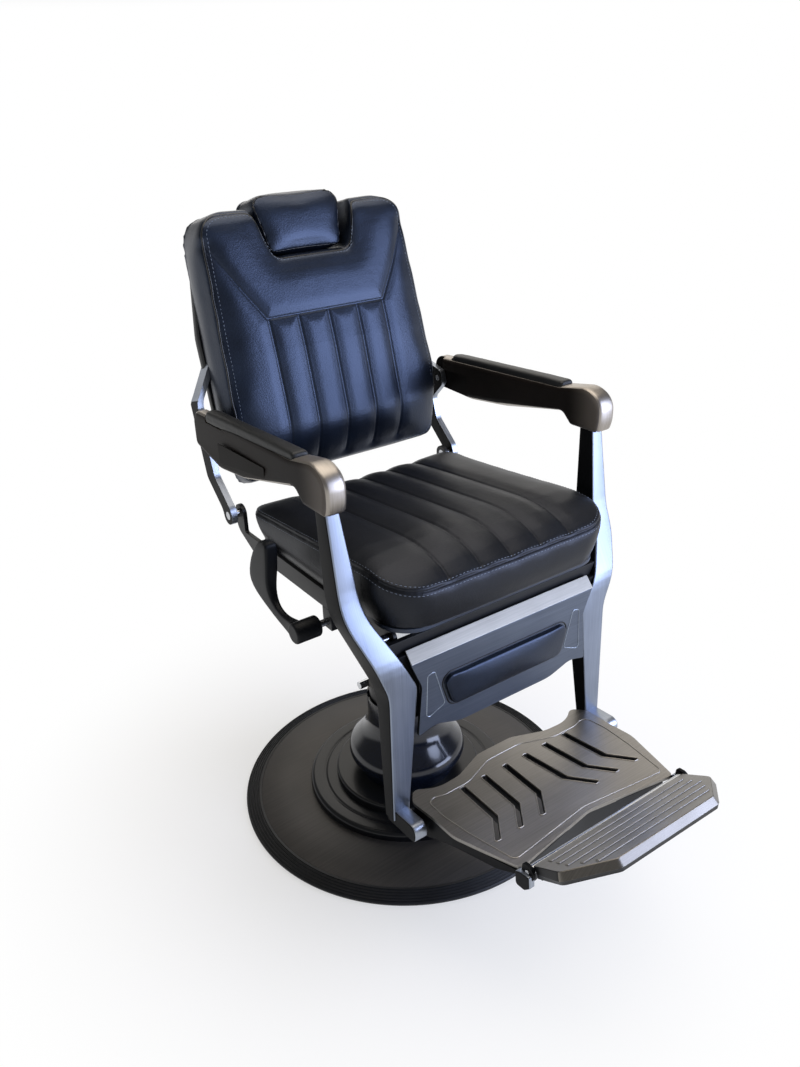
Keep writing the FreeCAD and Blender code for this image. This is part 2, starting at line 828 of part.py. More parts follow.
def seat_frame_parts():
    node(turned("swivel_hub", [
        ("spigot_radius + running_clearance", HUB_BOTTOM),
        ("hub_radius", HUB_BOTTOM),
        ("hub_radius", PLATE_BOTTOM),
        ("spigot_radius + running_clearance", PLATE_BOTTOM),
    ]))
    node(block("seat_mount_plate", ("-mount_plate_half_width", "mount_plate_half_width"),
               ("front_tube_y", "rear_tube_y + tube_size"), (PLATE_BOTTOM, FRAME_BOTTOM)))
    tubes = [cross_tube("front_cross_tube", "front_tube_y"), cross_tube("rear_cross_tube", "rear_tube_y")]
    node(group("cross_tubes", tubes))
    node(group("side_rails", [side_rail(side, sign) for side, sign in SIDES]))
    node(group("leg_brackets", [hinge_bracket(side, sign) for side, sign in SIDES]))
    node(group("back_pivot_pins", [back_pin(side, sign) for side, sign in SIDES]))
    node(group("leg_pivot_pins", [leg_pin(side, sign) for side, sign in SIDES]))


def side_rail(side, sign):
    """A plate along the seat that rises behind the cushion to the back's pivot."""
    start, width = span(sign, RAIL_INNER, RAIL_OUTER)
    plate = prism(f"side_rail_{side}_blank", "YZ", [
        ("front_tube_y", "rail_bottom"),
        ("back_pivot_y - 3 * ear_radius", "rail_bottom", "rail_bend_round"),
        ("back_pivot_y + ear_radius", "rail_top", "rail_rise_round"),
        ("back_pivot_y + ear_radius", "back_pivot_z + ear_radius", "ear_radius - joint_clearance"),
        ("back_pivot_y - ear_radius", "back_pivot_z + ear_radius", "ear_radius - joint_clearance"),
        ("back_pivot_y - ear_radius", "rail_top", "rail_notch_round"),
        ("front_tube_y", "rail_top"),
    ], start, width)
    bore = rod(f"side_rail_{side}_bore", "X", "back_pin_radius", start, width,
               "back_pivot_y", "back_pivot_z")
    return cut(f"side_rail_{side}", plate, bore)


def back_pin(side, sign):
    start, width = span(sign, RAIL_INNER, BAR_OUTER)
    return rod(f"back_pivot_pin_{side}", "X", "back_pin_radius", start, width,
               "back_pivot_y", "back_pivot_z")


def hinge_bracket(side, sign):
    """A plate from the front tube down to the leg frame's pivot."""
    start, width = span(sign, BRACKET_INNER, f"{BRACKET_INNER} + bracket_thick")
    plate = prism(f"leg_bracket_{side}_blank", "YZ", [
        ("leg_pivot_y - bracket_radius", "leg_pivot_z - bracket_radius", "bracket_radius - joint_clearance"),
        ("front_tube_y", "leg_pivot_z - bracket_radius"),
        ("front_tube_y", PAN_BOTTOM),
        ("front_tube_y - tube_size", PAN_BOTTOM),
        ("leg_pivot_y - bracket_radius", "leg_pivot_z + bracket_radius", "bracket_radius - joint_clearance"),
    ], start, width)
    bore = rod(f"leg_bracket_{side}_bore", "X", "leg_pin_radius", start, width, "leg_pivot_y", "leg_pivot_z")
    return cut(f"leg_bracket_{side}", plate, bore)


def leg_pin(side, sign):
    start, width = span(sign, BRACKET_INNER, f"{LEG_PIN_END} - joint_clearance")
    return rod(f"leg_pivot_pin_{side}", "X", "leg_pin_radius", start, width, "leg_pivot_y", "leg_pivot_z")


def seat_parts():
    node(block("seat_pan", (f"-{PAN_HALF}", PAN_HALF), ("pan_front_y", "seat_rear_y"),
               (PAN_BOTTOM, CUSHION_BOTTOM)))
    side = prism("seat_cushion_side", "YZ", [
        ("seat_front_y", CUSHION_BOTTOM),
        ("seat_rear_y", CUSHION_BOTTOM),
        ("seat_rear_y", f"{CUSHION_BOTTOM} + seat_rear_height", "seat_rear_round"),
        ("seat_crest_y", f"{CUSHION_BOTTOM} + seat_crest_height", "seat_crest_round"),
        ("seat_front_y", f"{CUSHION_BOTTOM} + seat_front_height", "seat_front_round"),
    ], "-seat_half_width", "2 * seat_half_width")
    plan = prism("seat_cushion_plan", "XY", mirrored([
        ("seat_half_width", "seat_front_y", "seat_front_corner"),
        ("seat_half_width", "seat_rear_y", "seat_rear_corner"),
    ]), CUSHION_BOTTOM, "2 * seat_crest_height")
    node(common("seat_cushion", side, plan))
    node(block("seat_front_strip", ("-strip_half_width", "strip_half_width"),
               ("strip_front_y", "strip_front_y + strip_thick"),
               (f"{PAN_BOTTOM} - strip_height", PAN_BOTTOM)))


def lever_parts():
    """The recline lever turns on a shaft in a block under the right side rail."""
    half = "lever_block_width / 2"
    block_body = block("lever_block_blank", (f"-({RAIL_OUTER})", f"-({RAIL_OUTER}) + lever_block_width"),
                       (f"lever_y - {half}", f"lever_y + {half}"), (f"lever_z - {half}", "rail_bottom"))
    bore = rod("lever_block_bore", "X", "lever_shaft_radius + running_clearance", f"-({RAIL_OUTER})",
               "lever_block_width", "lever_y", "lever_z")
    node(cut("lever_block", block_body, bore))
    shaft = rod("lever_shaft_bar", "X", "lever_shaft_radius", f"-{LEVER_INNER}",
                "lever_gap + lever_shaft_depth", "lever_y", "lever_z")
    boss = rod("lever_shaft_boss", "X", "lever_hub_radius", f"-{LEVER_OUTER} + lever_thick",
               "lever_reach - lever_thick", "lever_y", "lever_z")
    node(fuse("lever_shaft", shaft, boss))
    node(prism("lever_handle", "YZ", [
        ("lever_y - lever_hub_radius", "lever_z - lever_hub_radius", "lever_heel_round"),
        ("lever_y + lever_low_y", "lever_z + lever_low_z", "lever_low_round"),
        ("lever_y + lever_rise_y", "lever_z + lever_rise_z", "lever_rise_round"),
        ("lever_y + lever_wide_y", "lever_z + lever_wide_z", "lever_wide_round"),
        ("lever_y + lever_tip_rear_y", "lever_z + lever_tip_rear_z", "lever_tip_round"),
        ("lever_y + lever_tip_front_y", "lever_z + lever_tip_front_z", "lever_tip_round"),
        ("lever_y + lever_grip_y", "lever_z + lever_grip_z", "lever_grip_round"),
        ("lever_y + lever_neck_y", "lever_z + lever_neck_z", "lever_neck_round"),
        ("lever_y - lever_hub_radius", "lever_z + lever_hub_radius", "lever_heel_round"),
    ], f"-{LEVER_OUTER}", "lever_thick"))


def lock_parts():
    """A locking strut under the seat holds the leg frame, and through the arms the back."""
    tube = rod("lock_cylinder_blank", "Y", "lock_cylinder_radius", "lock_cylinder_front_y",
               "lock_cylinder_length", "lock_x", LOCK_Z)
    bore = rod("lock_cylinder_bore", "Y", "lock_rod_radius + running_clearance", "lock_cylinder_front_y",
               "lock_cylinder_length - lock_cylinder_radius", "lock_x", LOCK_Z)
    node(cut("lock_cylinder", tube, bore))
    clamps = []
    front_clamp_y = "lock_cylinder_front_y + lock_clamp_inset"
    rear_clamp_y = "lock_cylinder_front_y + lock_cylinder_length - lock_clamp_inset"
    for place_name, middle in (("front", front_clamp_y), ("rear", rear_clamp_y)):
        reach = "lock_cylinder_radius + lock_clamp_wall"
        front_y = f"{middle} - lock_clamp_length / 2"
        clamp = block(f"lock_clamp_{place_name}_blank", (f"lock_x - ({reach})", f"lock_x + {reach}"),
                      (front_y, f"{front_y} + lock_clamp_length"), (f"{LOCK_Z} - ({reach})", PLATE_BOTTOM))
        hole = rod(f"lock_clamp_{place_name}_bore", "Y", "lock_cylinder_radius", front_y,
                   "lock_clamp_length", "lock_x", LOCK_Z)
        clamps.append(cut(f"lock_clamp_{place_name}", clamp, hole))
    node(group("lock_clamps", clamps))
    eye_y = "leg_pivot_y"
    thick = "lock_eye_thick"
    stem = rod("lock_rod_stem", "Y", "lock_rod_radius", eye_y, "lock_rod_length", "lock_x", LOCK_Z)
    ring = rod("lock_rod_ring", "X", "lock_eye_radius", f"lock_x - {thick} / 2", thick, eye_y, LOCK_Z)
    hole = rod("lock_rod_hole", "X", "lock_pin_radius + lock_eye_slack", f"lock_x - {thick}",
               f"2 * {thick}", eye_y, LOCK_Z)
    node(cut("lock_rod", fuse("lock_rod_blank", stem, ring), hole))
    inner = "lock_eye_thick / 2 + lock_fork_gap"
    plates = []
    for side, sign in SIDES:
        low = f"lock_x + {inner}" if sign > 0 else f"lock_x - ({inner}) - lock_fork_thick"
        plate = prism(f"lock_fork_{side}_blank", "YZ", [
            ("panel_front_y + panel_thick", f"{LOCK_Z} - lock_fork_radius"),
            ("leg_pivot_y + lock_fork_radius", f"{LOCK_Z} - lock_fork_radius", "lock_fork_round"),
            ("leg_pivot_y + lock_fork_radius", f"{LOCK_Z} + lock_fork_radius", "lock_fork_round"),
            ("panel_front_y + panel_thick", f"{LOCK_Z} + lock_fork_rise"),
        ], low, "lock_fork_thick")
        hole = rod(f"lock_fork_{side}_bore", "X", "lock_pin_radius", low, "lock_fork_thick", eye_y, LOCK_Z)
        plates.append(cut(f"lock_fork_{side}", plate, hole))
    reach = f"{inner} + lock_fork_thick"
    pin = rod("lock_pin", "X", "lock_pin_radius", f"lock_x - ({reach})", f"2 * ({reach})", eye_y, LOCK_Z)
    node(group("lock_fork", plates + [pin]))


def lean(thing):
    """Stand a piece of the back in the back's own leaning frame at its pivot."""
    return place(thing, 0, "back_pivot_y", "back_pivot_z", "back_lean")


def back_bar(side, sign):
    """A flat bar from the pivot, back and up past the arm, then in to the back board."""
    start, width = span(sign, BAR_TOP_INNER, BAR_OUTER)
    face = prism(f"back_bar_{side}_face", "XZ", on_side(sign, [
        (BAR_INNER, "-bar_width / 2"),
        (BAR_OUTER, "-bar_width / 2"),
        (BAR_OUTER, "bar_tuck_start", "bar_tuck_round + bar_thick"),
        (f"{BAR_TOP_INNER} + bar_thick", "bar_tuck_end", "bar_tuck_round"),
        (f"{BAR_TOP_INNER} + bar_thick", "bar_top"),
        (BAR_TOP_INNER, "bar_top"),
        (BAR_TOP_INNER, "bar_tuck_end", "bar_tuck_round + bar_thick"),
        (BAR_INNER, "bar_tuck_start", "bar_tuck_round"),
    ]), "-bar_width", f"bar_width + {BOARD_BACK}")
    front = f"{BOARD_BACK} - bar_width"
    lug_front = "-bar_link_front - bar_lug_radius"
    profile = prism(f"back_bar_{side}_side", "YZ", [
        ("-bar_width / 2", "-bar_width / 2", "bar_width / 2 - joint_clearance"),
        ("bar_width / 2", "-bar_width / 2", "bar_width / 2 - joint_clearance"),
        ("bar_width / 2", "bar_jog_start", "bar_jog_round"),
        (BOARD_BACK, "bar_jog_end", "bar_jog_round"),
        (BOARD_BACK, "bar_top"),
        (front, "bar_top"),
        (front, "bar_link + bar_lug_spread", "bar_lug_round"),
        (lug_front, "bar_link + bar_lug_radius", "bar_lug_round"),
        (lug_front, "bar_link - bar_lug_radius", "bar_lug_round"),
        (front, "bar_link - bar_lug_spread", "bar_lug_round"),
        (front, "bar_jog_end", "bar_jog_round"),
        ("-bar_width / 2", "bar_jog_start", "bar_jog_round"),
    ], start, width)
    strip = lean(common(f"back_bar_{side}_strip", face, profile))
    pivot_start, pivot_width = span(sign, BAR_INNER, BAR_OUTER)
    pivot = rod(f"back_bar_{side}_pivot", "X", "back_pin_radius + running_clearance",
                pivot_start, pivot_width, "back_pivot_y", "back_pivot_z")
    link = rod(f"back_bar_{side}_link", "X", "link_pin_radius", pivot_start, pivot_width, LINK_Y, LINK_Z)
    return cut(f"back_bar_{side}", strip, pivot, link)


def link_pin(side, sign):
    """The pin that carries the arm's rear end."""
    start, width = span(sign, BAR_INNER, f"{ARM_LINK_END} - arm_pin_inset")
    return rod(f"arm_link_pin_{side}", "X", "link_pin_radius", start, width, LINK_Y, LINK_Z)


def back_parts():
    node(group("back_bars", [back_bar(side, sign) for side, sign in SIDES]))
    node(group("arm_link_pins", [link_pin(side, sign) for side, sign in SIDES]))
    node(lean(slab("back_board", (f"-{BAR_TOP_INNER}", BAR_TOP_INNER), ("board_front", BOARD_BACK),
                   ("board_low", "board_high"))))
    side = prism("back_cushion_side", "YZ", [
        ("board_front", "back_low", "back_edge_round"),
        ("board_front", "back_high", "back_edge_round"),
        ("back_front", "back_high", "back_top_round"),
        ("back_front", "back_knee", "back_knee_round"),
        ("back_low_front", "back_low", "back_low_round"),
    ], f"-{BACK_HALF}", f"2 * {BACK_HALF}")
    face = prism("back_cushion_face", "XZ", mirrored([
        (f"{BACK_HALF} - back_low_inset", "back_low", "back_corner_round"),
        (BACK_HALF, "back_knee", "back_flank_round"),
        (f"{BACK_HALF} - back_shoulder_inset", "back_shoulder", "back_shoulder_round"),
        (f"{BACK_HALF} - back_crown_inset", "back_high", "back_crown_round"),
        ("notch_high_half_width", "back_high", "notch_high_round"),
        ("notch_low_half_width", "notch_low", "notch_low_round"),
    ]), "back_front", "board_front - back_front")
    node(lean(common("back_cushion", side, face)))
    socket = block("headrest_socket_blank",
                   ("-post_half_width - socket_wall", "post_half_width + socket_wall"),
                   (BOARD_BACK, f"{POST_BACK} + socket_wall"), ("socket_low", "socket_high"))
    channel = block("headrest_socket_channel",
                    ("-post_half_width - joint_clearance", "post_half_width + joint_clearance"),
                    (f"{POST_FRONT} - joint_clearance", f"{POST_BACK} + joint_clearance"),
                    ("socket_low", "socket_high"))
    node(lean(cut("headrest_socket", socket, channel)))


def headrest_parts():
    node(lean(slab("headrest_post", ("-post_half_width", "post_half_width"), (POST_FRONT, POST_BACK),
                   ("post_low", "post_high"))))
    node(lean(slab("headrest_bracket", ("-head_bracket_half_width", "head_bracket_half_width"),
                   ("board_front", POST_FRONT), ("head_bracket_low", "head_bracket_high"))))
    node(lean(prism("headrest_cushion", "XZ", mirrored([
        ("headrest_low_half_width", "headrest_low", "headrest_low_round"),
        ("headrest_high_half_width", "headrest_high", "headrest_high_round"),
    ]), "headrest_front", "board_front - headrest_front")))


def leg(side, sign):
    """A cast leg, the part that its front and side views share."""
    start, width = span(sign, "leg_ankle_inner", LEG_SHOULDER_OUTER)
    front = prism(f"leg_{side}_front", "XZ", on_side(sign, [
        (LEG_TOP_OUTER, "leg_top_z"),
        (LEG_SHOULDER_OUTER, "leg_shoulder_z", "leg_shoulder_round"),
        ("leg_ankle_outer", "leg_ankle_z", "leg_ankle_outer_round"),
        ("leg_foot_outer", "leg_foot_z"),
        ("leg_foot_inner", "leg_foot_z"),
        ("leg_ankle_inner", "leg_ankle_z", "leg_ankle_inner_round"),
        (LEG_SHOULDER_INNER, "leg_shoulder_z", "leg_shoulder_round"),
        (LEG_TOP_INNER, "leg_top_z"),
    ]), "leg_foot_front_y", "leg_top_rear_y - leg_foot_front_y")
    profile = prism(f"leg_{side}_side", "YZ", [
        ("leg_top_front_y", "leg_top_z", "leg_top_round"),
        ("leg_chest_front_y", "leg_chest_z", "leg_chest_round"),
        ("leg_hip_front_y", "leg_hip_z", "leg_hip_round"),
        ("leg_foot_front_y", "leg_foot_z"),
        ("leg_foot_rear_y", "leg_foot_z"),
        ("leg_calf_rear_y", "leg_calf_z", "leg_rear_round"),
        ("leg_chest_rear_y", "leg_chest_z", "leg_rear_round"),
        ("leg_top_rear_y", "leg_top_z", "leg_top_round"),
    ], start, width)
    blank = common(f"leg_{side}_blank", front, profile)
    hip_start, hip_width = span(sign, BRACKET_INNER, LEG_PIN_END)
    hip = rod(f"leg_{side}_hip_bore", "X", "leg_pin_radius + running_clearance", hip_start, hip_width,
              "leg_pivot_y", "leg_pivot_z")
    top_start, top_width = span(sign, ARM_INNER, ARM_OUTER)
    knuckle = rod(f"leg_{side}_arm_bore", "X", "arm_pin_radius + running_clearance", top_start, top_width,
                  "arm_pivot_y", "arm_pivot_z")
    node(cut(f"leg_{side}", blank, hip, knuckle))


def toe(side, sign):
    """The block under a leg that carries the footrest's pin in its rounded nose."""
    start, width = span(sign, "leg_foot_inner + toe_inset", "leg_foot_outer - toe_inset")
    blank = prism(f"toe_{side}_blank", "YZ", [
        ("leg_foot_rear_y", "toe_bottom", "toe_heel_round"),
        ("leg_foot_rear_y", "leg_foot_z"),
        ("leg_foot_front_y", "leg_foot_z"),
        ("leg_foot_front_y", "toe_top"),
        ("toe_front_y", "toe_top", "toe_nose_round"),
        ("toe_front_y", "toe_bottom", "toe_nose_round"),
    ], start, width)
    bore_start, bore_width = span(sign, "leg_foot_inner", "footrest_pin_outer + joint_clearance")
    bore = rod(f"toe_{side}_bore", "X", "footrest_pin_radius + running_clearance", bore_start, bore_width,
               "footrest_pivot_y", "footrest_pivot_z")
    return cut(f"toe_{side}", blank, bore)


def panel_parts():
    """The folded front panel, the bright strip on its fold, the calf pad and the bar behind."""
    fold_rise = "(panel_top_z - panel_fold_z)"
    fold_run = "(panel_top_y - panel_front_y)"
    fold = f"sqrt({fold_rise} * {fold_rise} + {fold_run} * {fold_run})"
    fold_rear = f"panel_top_y + panel_thick * {fold_rise} / {fold}"
    side = prism("front_panel_side", "YZ", [
        ("panel_front_y", "panel_low_z - panel_thick"),
        ("panel_front_y", "panel_fold_z"),
        ("panel_top_y", "panel_top_z"),
        (fold_rear, f"panel_top_z - panel_thick * {fold_run} / {fold}"),
        ("panel_front_y + panel_thick", f"panel_fold_z - panel_thick * ({fold} - {fold_rise}) / {fold_run}"),
        ("panel_front_y + panel_thick", "panel_low_z - panel_thick"),
    ], f"-{LEG_SHOULDER_INNER}", f"2 * {LEG_SHOULDER_INNER}")
    top_half = f"{leg_inner_at('panel_fold_z')} - 2 * panel_gap"
    foot_slope = "(leg_foot_inner - leg_ankle_inner) / (leg_ankle_z - leg_foot_z)"
    corner_half = f"leg_ankle_inner + (leg_ankle_z - panel_corner_z) * {foot_slope} - panel_gap"
    face = prism("front_panel_face", "XZ", mirrored([
        ("panel_low_half_width", "panel_low_z", "panel_low_round"),
        ("panel_dip_half_width", "panel_dip_z", "panel_dip_round"),
        (corner_half, "panel_corner_z", "panel_corner_round"),
        ("leg_ankle_inner - panel_gap", "leg_ankle_z", "panel_waist_round"),
        (top_half, "panel_fold_z"),
        (top_half, "panel_top_z + panel_thick"),
    ]), "panel_front_y", "4 * panel_thick")
    node(common("front_panel", side, face))
    lift_y = f"panel_strip_thick * {fold_rise} / {fold}"
    lift_z = f"panel_strip_thick * {fold_run} / {fold}"
    node(prism("panel_strip", "YZ", [
        ("panel_front_y", "panel_fold_z"),
        ("panel_top_y", "panel_top_z"),
        (f"panel_top_y - {lift_y}", f"panel_top_z + {lift_z}"),
        (f"panel_front_y - {lift_y}", f"panel_fold_z + {lift_z}"),
    ], f"-({top_half})", f"2 * ({top_half})"))
    node(prism("calf_pad", "XZ", mirrored([
        ("knee_pad_bottom_half_width", "knee_pad_bottom_z", "knee_pad_round"),
        ("knee_pad_top_half_width", "knee_pad_top_z", "knee_pad_round"),
    ]), "panel_front_y - knee_pad_thick", "knee_pad_thick"))
    low_half = f"{leg_inner_at('cross_bar_bottom')} - joint_clearance"
    high_half = f"{leg_inner_at('cross_bar_top')} - joint_clearance"
    node(prism("leg_cross_bar", "XZ", mirrored([
        (low_half, "cross_bar_bottom"),
        (high_half, "cross_bar_top"),
    ]), f"{fold_rear} + joint_clearance", "cross_bar_depth"))


def arm(side, sign):
    """A cast arm: a hollow knuckle over the leg in front and a recess for the back bar behind."""
    start, width = span(sign, ARM_INNER, ARM_OUTER)
    side_view = prism(f"arm_{side}_side", "YZ", [
        ("arm_rear_y", "arm_rear_bottom", "arm_rear_round"),
        ("arm_rear_y", "arm_rear_top", "arm_rear_round"),
        ("arm_step_y", "arm_seat_z"),
        ("arm_step_y", "arm_seat_z + arm_pad_thick"),
        ("arm_crown_y", "arm_crown_z", "arm_crown_round"),
        ("arm_nose_y", "arm_nose_z", "arm_nose_round"),
        ("arm_chin_y", "arm_chin_z", "arm_chin_round"),
        ("arm_sleeve_front_y", "arm_sleeve_bottom"),
        ("arm_sleeve_rear_y", "arm_sleeve_bottom", "arm_sleeve_round"),
        ("arm_throat_y", "arm_throat_z", "arm_throat_round"),
        ("arm_belly_y", "arm_belly_z", "arm_belly_round"),
        ("arm_low_y", "arm_low_z", "arm_belly_round"),
    ], start, width)
    plan = prism(f"arm_{side}_plan", "XY", on_side(sign, [
        (ARM_INNER, "arm_nose_y"),
        (ARM_OUTER, "arm_nose_y"),
        (ARM_OUTER, "arm_taper_y"),
        (f"{ARM_INNER} + arm_rear_width", "arm_rear_y", "arm_rear_corner"),
        (ARM_INNER, "arm_rear_y"),
    ]), "arm_low_z - arm_pad_thick", "arm_crown_z - arm_low_z + 2 * arm_pad_thick")
    blank = common(f"arm_{side}_blank", side_view, plan)
    hollow = span(sign, f"{ARM_INNER} + arm_wall", f"{ARM_OUTER} - arm_wall")
    cavity = block(f"arm_{side}_cavity", (hollow[0], f"{hollow[0]} + {hollow[1]}"),
                   ("arm_nose_y + 2 * arm_wall", "arm_cavity_rear_y"),
                   ("arm_sleeve_bottom", "arm_cavity_top"))
    slot_start, slot_width = span(sign, ARM_INNER, SLOT_OUTER)
    slot_x = (slot_start, f"{slot_start} + {slot_width}")
    low_slot = block(f"arm_{side}_low_slot", slot_x, ("arm_slot_front_y", "arm_rear_y"),
                     ("arm_low_z - bar_width", f"{LINK_Z} + bar_width / 2 + link_slack"))
    high_slot = block(f"arm_{side}_high_slot", slot_x, ("arm_slot_neck_y", "arm_rear_y"),
                      (LINK_Z, "arm_seat_z"))
    link_start, link_width = span(sign, ARM_INNER, ARM_LINK_END)
    link = rod(f"arm_{side}_link_hole", "X", "link_pin_radius + link_slack", link_start, link_width,
               LINK_Y, LINK_Z)
    pin_start, pin_width = span(sign, f"{ARM_INNER} + arm_pin_inset", f"{ARM_OUTER} - arm_pin_inset")
    bore = rod(f"arm_{side}_pin_bore", "X", "arm_pin_radius", pin_start, pin_width,
               "arm_pivot_y", "arm_pivot_z")
    node(cut(f"arm_{side}", blank, cavity, low_slot, high_slot, link, bore))
    node(rod(f"arm_pin_{side}", "X", "arm_pin_radius", pin_start, pin_width, "arm_pivot_y", "arm_pivot_z"))
    slope = "(arm_seat_z - arm_rear_top) / (arm_rear_y - arm_step_y)"
    rear_z = f"arm_seat_z - (arm_pad_rear_y - arm_step_y) * {slope}"
    pad_start, pad_width = span(sign, f"{ARM_INNER} + arm_wall", f"{ARM_OUTER} - arm_wall")
    node(prism(f"arm_pad_{side}", "YZ", [
        ("arm_step_y + joint_clearance", f"arm_seat_z - joint_clearance * {slope}"),
        ("arm_pad_rear_y", rear_z),
        ("arm_pad_rear_y", f"{rear_z} + arm_pad_thick", "arm_pad_round"),
        ("arm_step_y + joint_clearance", "arm_seat_z + arm_pad_thick", "arm_pad_front_round"),
    ], pad_start, pad_width))


def tread(thing):
    """Stand a piece of the footrest in its tilted frame at the toe pins."""
    return place(thing, 0, "footrest_pivot_y", "footrest_pivot_z", "footrest_tilt")


FLIP_RUN = "(flip_pivot_y - footrest_pivot_y)"
FLIP_RISE = "(flip_pivot_z - footrest_pivot_z)"
EAR_Y = f"{FLIP_RUN} * cos(footrest_tilt) - {FLIP_RISE} * sin(footrest_tilt)"
EAR_Z = f"{FLIP_RUN} * sin(footrest_tilt) + {FLIP_RISE} * cos(footrest_tilt)"
EAR_INNER = "flip_half_width + flip_ear_gap"


def footrest_slot(side, sign, count):
    """One kinked slot through the tread, shifted outward by whole pitches."""
    shift = f"{count} * slot_pitch - slot_width / 2"
    return prism(f"footrest_slot_{side}{count}", "XY", on_side(sign, [
        (f"slot_rear_x + {shift}", "slot_rear"),
        (f"slot_kink_x + {shift}", "slot_kink"),
        (f"slot_front_x + {shift}", "slot_front"),
        (f"slot_front_x + slot_width + {shift}", "slot_front"),
        (f"slot_kink_x + slot_width + {shift}", "slot_kink"),
        (f"slot_rear_x + slot_width + {shift}", "slot_rear"),
    ]), "footrest_top - 2 * footrest_thick", "3 * footrest_thick")


def footrest_parts():
    plate = prism("footrest_plate_blank", "XY", mirrored([
        ("footrest_rear_half_width", "footrest_rear", "footrest_rear_round"),
        ("footrest_half_width", "footrest_hip", "footrest_hip_round"),
        ("footrest_half_width", "footrest_taper_start", "footrest_taper_round"),
        ("footrest_front_half_width", "footrest_front", "footrest_front_round"),
        ("footrest_notch_half_width", "footrest_notch"),
    ]), "footrest_top - footrest_thick", "footrest_thick")
    slots = [footrest_slot(side, sign, count) for side, sign in SIDES for count in range(3)]
    node(tread(cut("footrest_plate", plate, group("footrest_slots", slots))))
    node(group("footrest_flanges", [footrest_flange(side, sign) for side, sign in SIDES]))
    node(group("footrest_pins", [footrest_pin(side, sign) for side, sign in SIDES]))
    node(group("flip_pins", [flip_pin(side, sign) for side, sign in SIDES]))


def footrest_flange(side, sign):
    """A side strip under the tread, from the toe pin forward to the ear of the flip plate."""
    top = "footrest_top - footrest_thick"
    plan = prism(f"footrest_flange_{side}_plan", "XY", on_side(sign, [
        ("footrest_half_width - flange_thick", "flange_rear"),
        ("footrest_half_width", "flange_rear"),
        ("footrest_half_width", "footrest_taper_start"),
        (f"{EAR_INNER} + flange_thick", f"{EAR_Y} + flange_nose_run"),
        (f"{EAR_INNER} + flange_thick", f"{EAR_Y} - flip_ear_radius"),
        (EAR_INNER, f"{EAR_Y} - flip_ear_radius"),
        (EAR_INNER, f"{EAR_Y} + flange_nose_run"),
        ("footrest_half_width - flange_thick", "footrest_taper_start"),
    ]), "-flange_depth", f"flange_depth + flip_ear_radius + {EAR_Z}")
    start, width = span(sign, EAR_INNER, "footrest_half_width")
    profile = prism(f"footrest_flange_{side}_side", "YZ", [
        ("flange_rear", "-flange_depth", "flange_heel_round"),
        ("flange_rear", top, "flange_top_round"),
        ("footrest_front - flange_top_round", top),
        (f"{EAR_Y} + flip_ear_radius", f"{EAR_Z} + flip_ear_radius", "flip_ear_radius / 2"),
        (f"{EAR_Y} - flip_ear_radius", f"{EAR_Z} + flip_ear_radius", "flip_ear_radius - joint_clearance"),
        (f"{EAR_Y} - flip_ear_radius", f"{EAR_Z} - flip_ear_radius", "flip_ear_radius / 2"),
        ("flange_belly", f"{top} - flange_belly_depth", "flange_belly_round"),
        ("footrest_taper_start", f"{top} - flange_belly_depth", "flange_belly_round"),
        ("-flange_depth", "-flange_depth", "flange_heel_round"),
    ], start, width)
    strip = tread(common(f"footrest_flange_{side}_strip", plan, profile))
    pivot_start, pivot_width = span(sign, "footrest_half_width - flange_thick", "footrest_half_width")
    pivot = rod(f"footrest_flange_{side}_bore", "X", "footrest_pin_radius", pivot_start, pivot_width,
                "footrest_pivot_y", "footrest_pivot_z")
    ear_start, ear_width = span(sign, EAR_INNER, f"{EAR_INNER} + flange_thick")
    ear = rod(f"footrest_flange_{side}_ear", "X", "flip_pin_radius", ear_start, ear_width,
              "flip_pivot_y", "flip_pivot_z")
    return cut(f"footrest_flange_{side}", strip, pivot, ear)


def footrest_pin(side, sign):
    start, width = span(sign, "footrest_half_width - flange_thick", "footrest_pin_outer")
    return rod(f"footrest_pin_{side}", "X", "footrest_pin_radius", start, width,
               "footrest_pivot_y", "footrest_pivot_z")


def flip_pin(side, sign):
    start, width = span(sign, "flip_half_width - flip_pin_depth",
                        f"{EAR_INNER} + flange_thick + flip_pin_head")
    return rod(f"flip_pin_{side}", "X", "flip_pin_radius", start, width, "flip_pivot_y", "flip_pivot_z")


def flipped(thing):
    """Stand a piece of the flip plate in its own frame at the ear pins."""
    return place(thing, 0, "flip_pivot_y", "flip_pivot_z", "flip_angle")


def flip_parts():
    plate_low = "flip_tube_radius - flip_thick"
    tube = rod("flip_tube_blank", "X", "flip_tube_radius", "-flip_half_width", "2 * flip_half_width",
               "flip_pivot_y", "flip_pivot_z")
    bore = rod("flip_tube_bore", "X", "flip_pin_radius + running_clearance", "-flip_half_width",
               "2 * flip_half_width", "flip_pivot_y", "flip_pivot_z")
    node(cut("flip_tube", tube, bore))
    plate = prism("flip_plate", "XY", mirrored([
        ("flip_half_width", "-flip_tube_radius", "flip_edge_round"),
        ("flip_half_width", "flip_shoulder", "flip_shoulder_round"),
        ("flip_nose_half_width", "flip_nose", "flip_nose_round"),
    ]), plate_low, "flip_thick")
    node(flipped(plate))
    ribs = []
    for count in range(5):
        rear = f"flip_rib_start - {count} * flip_rib_pitch"
        inset = f"flip_half_width - flip_rib_inset - {max(0, count - 2)} * flip_rib_pitch"
        ribs.append(block(f"flip_rib{count}", (f"-({inset})", inset), (f"{rear} - flip_rib_width", rear),
                          ("flip_tube_radius", "flip_tube_radius + flip_rib_height")))
    node(flipped(group("flip_ribs", ribs)))


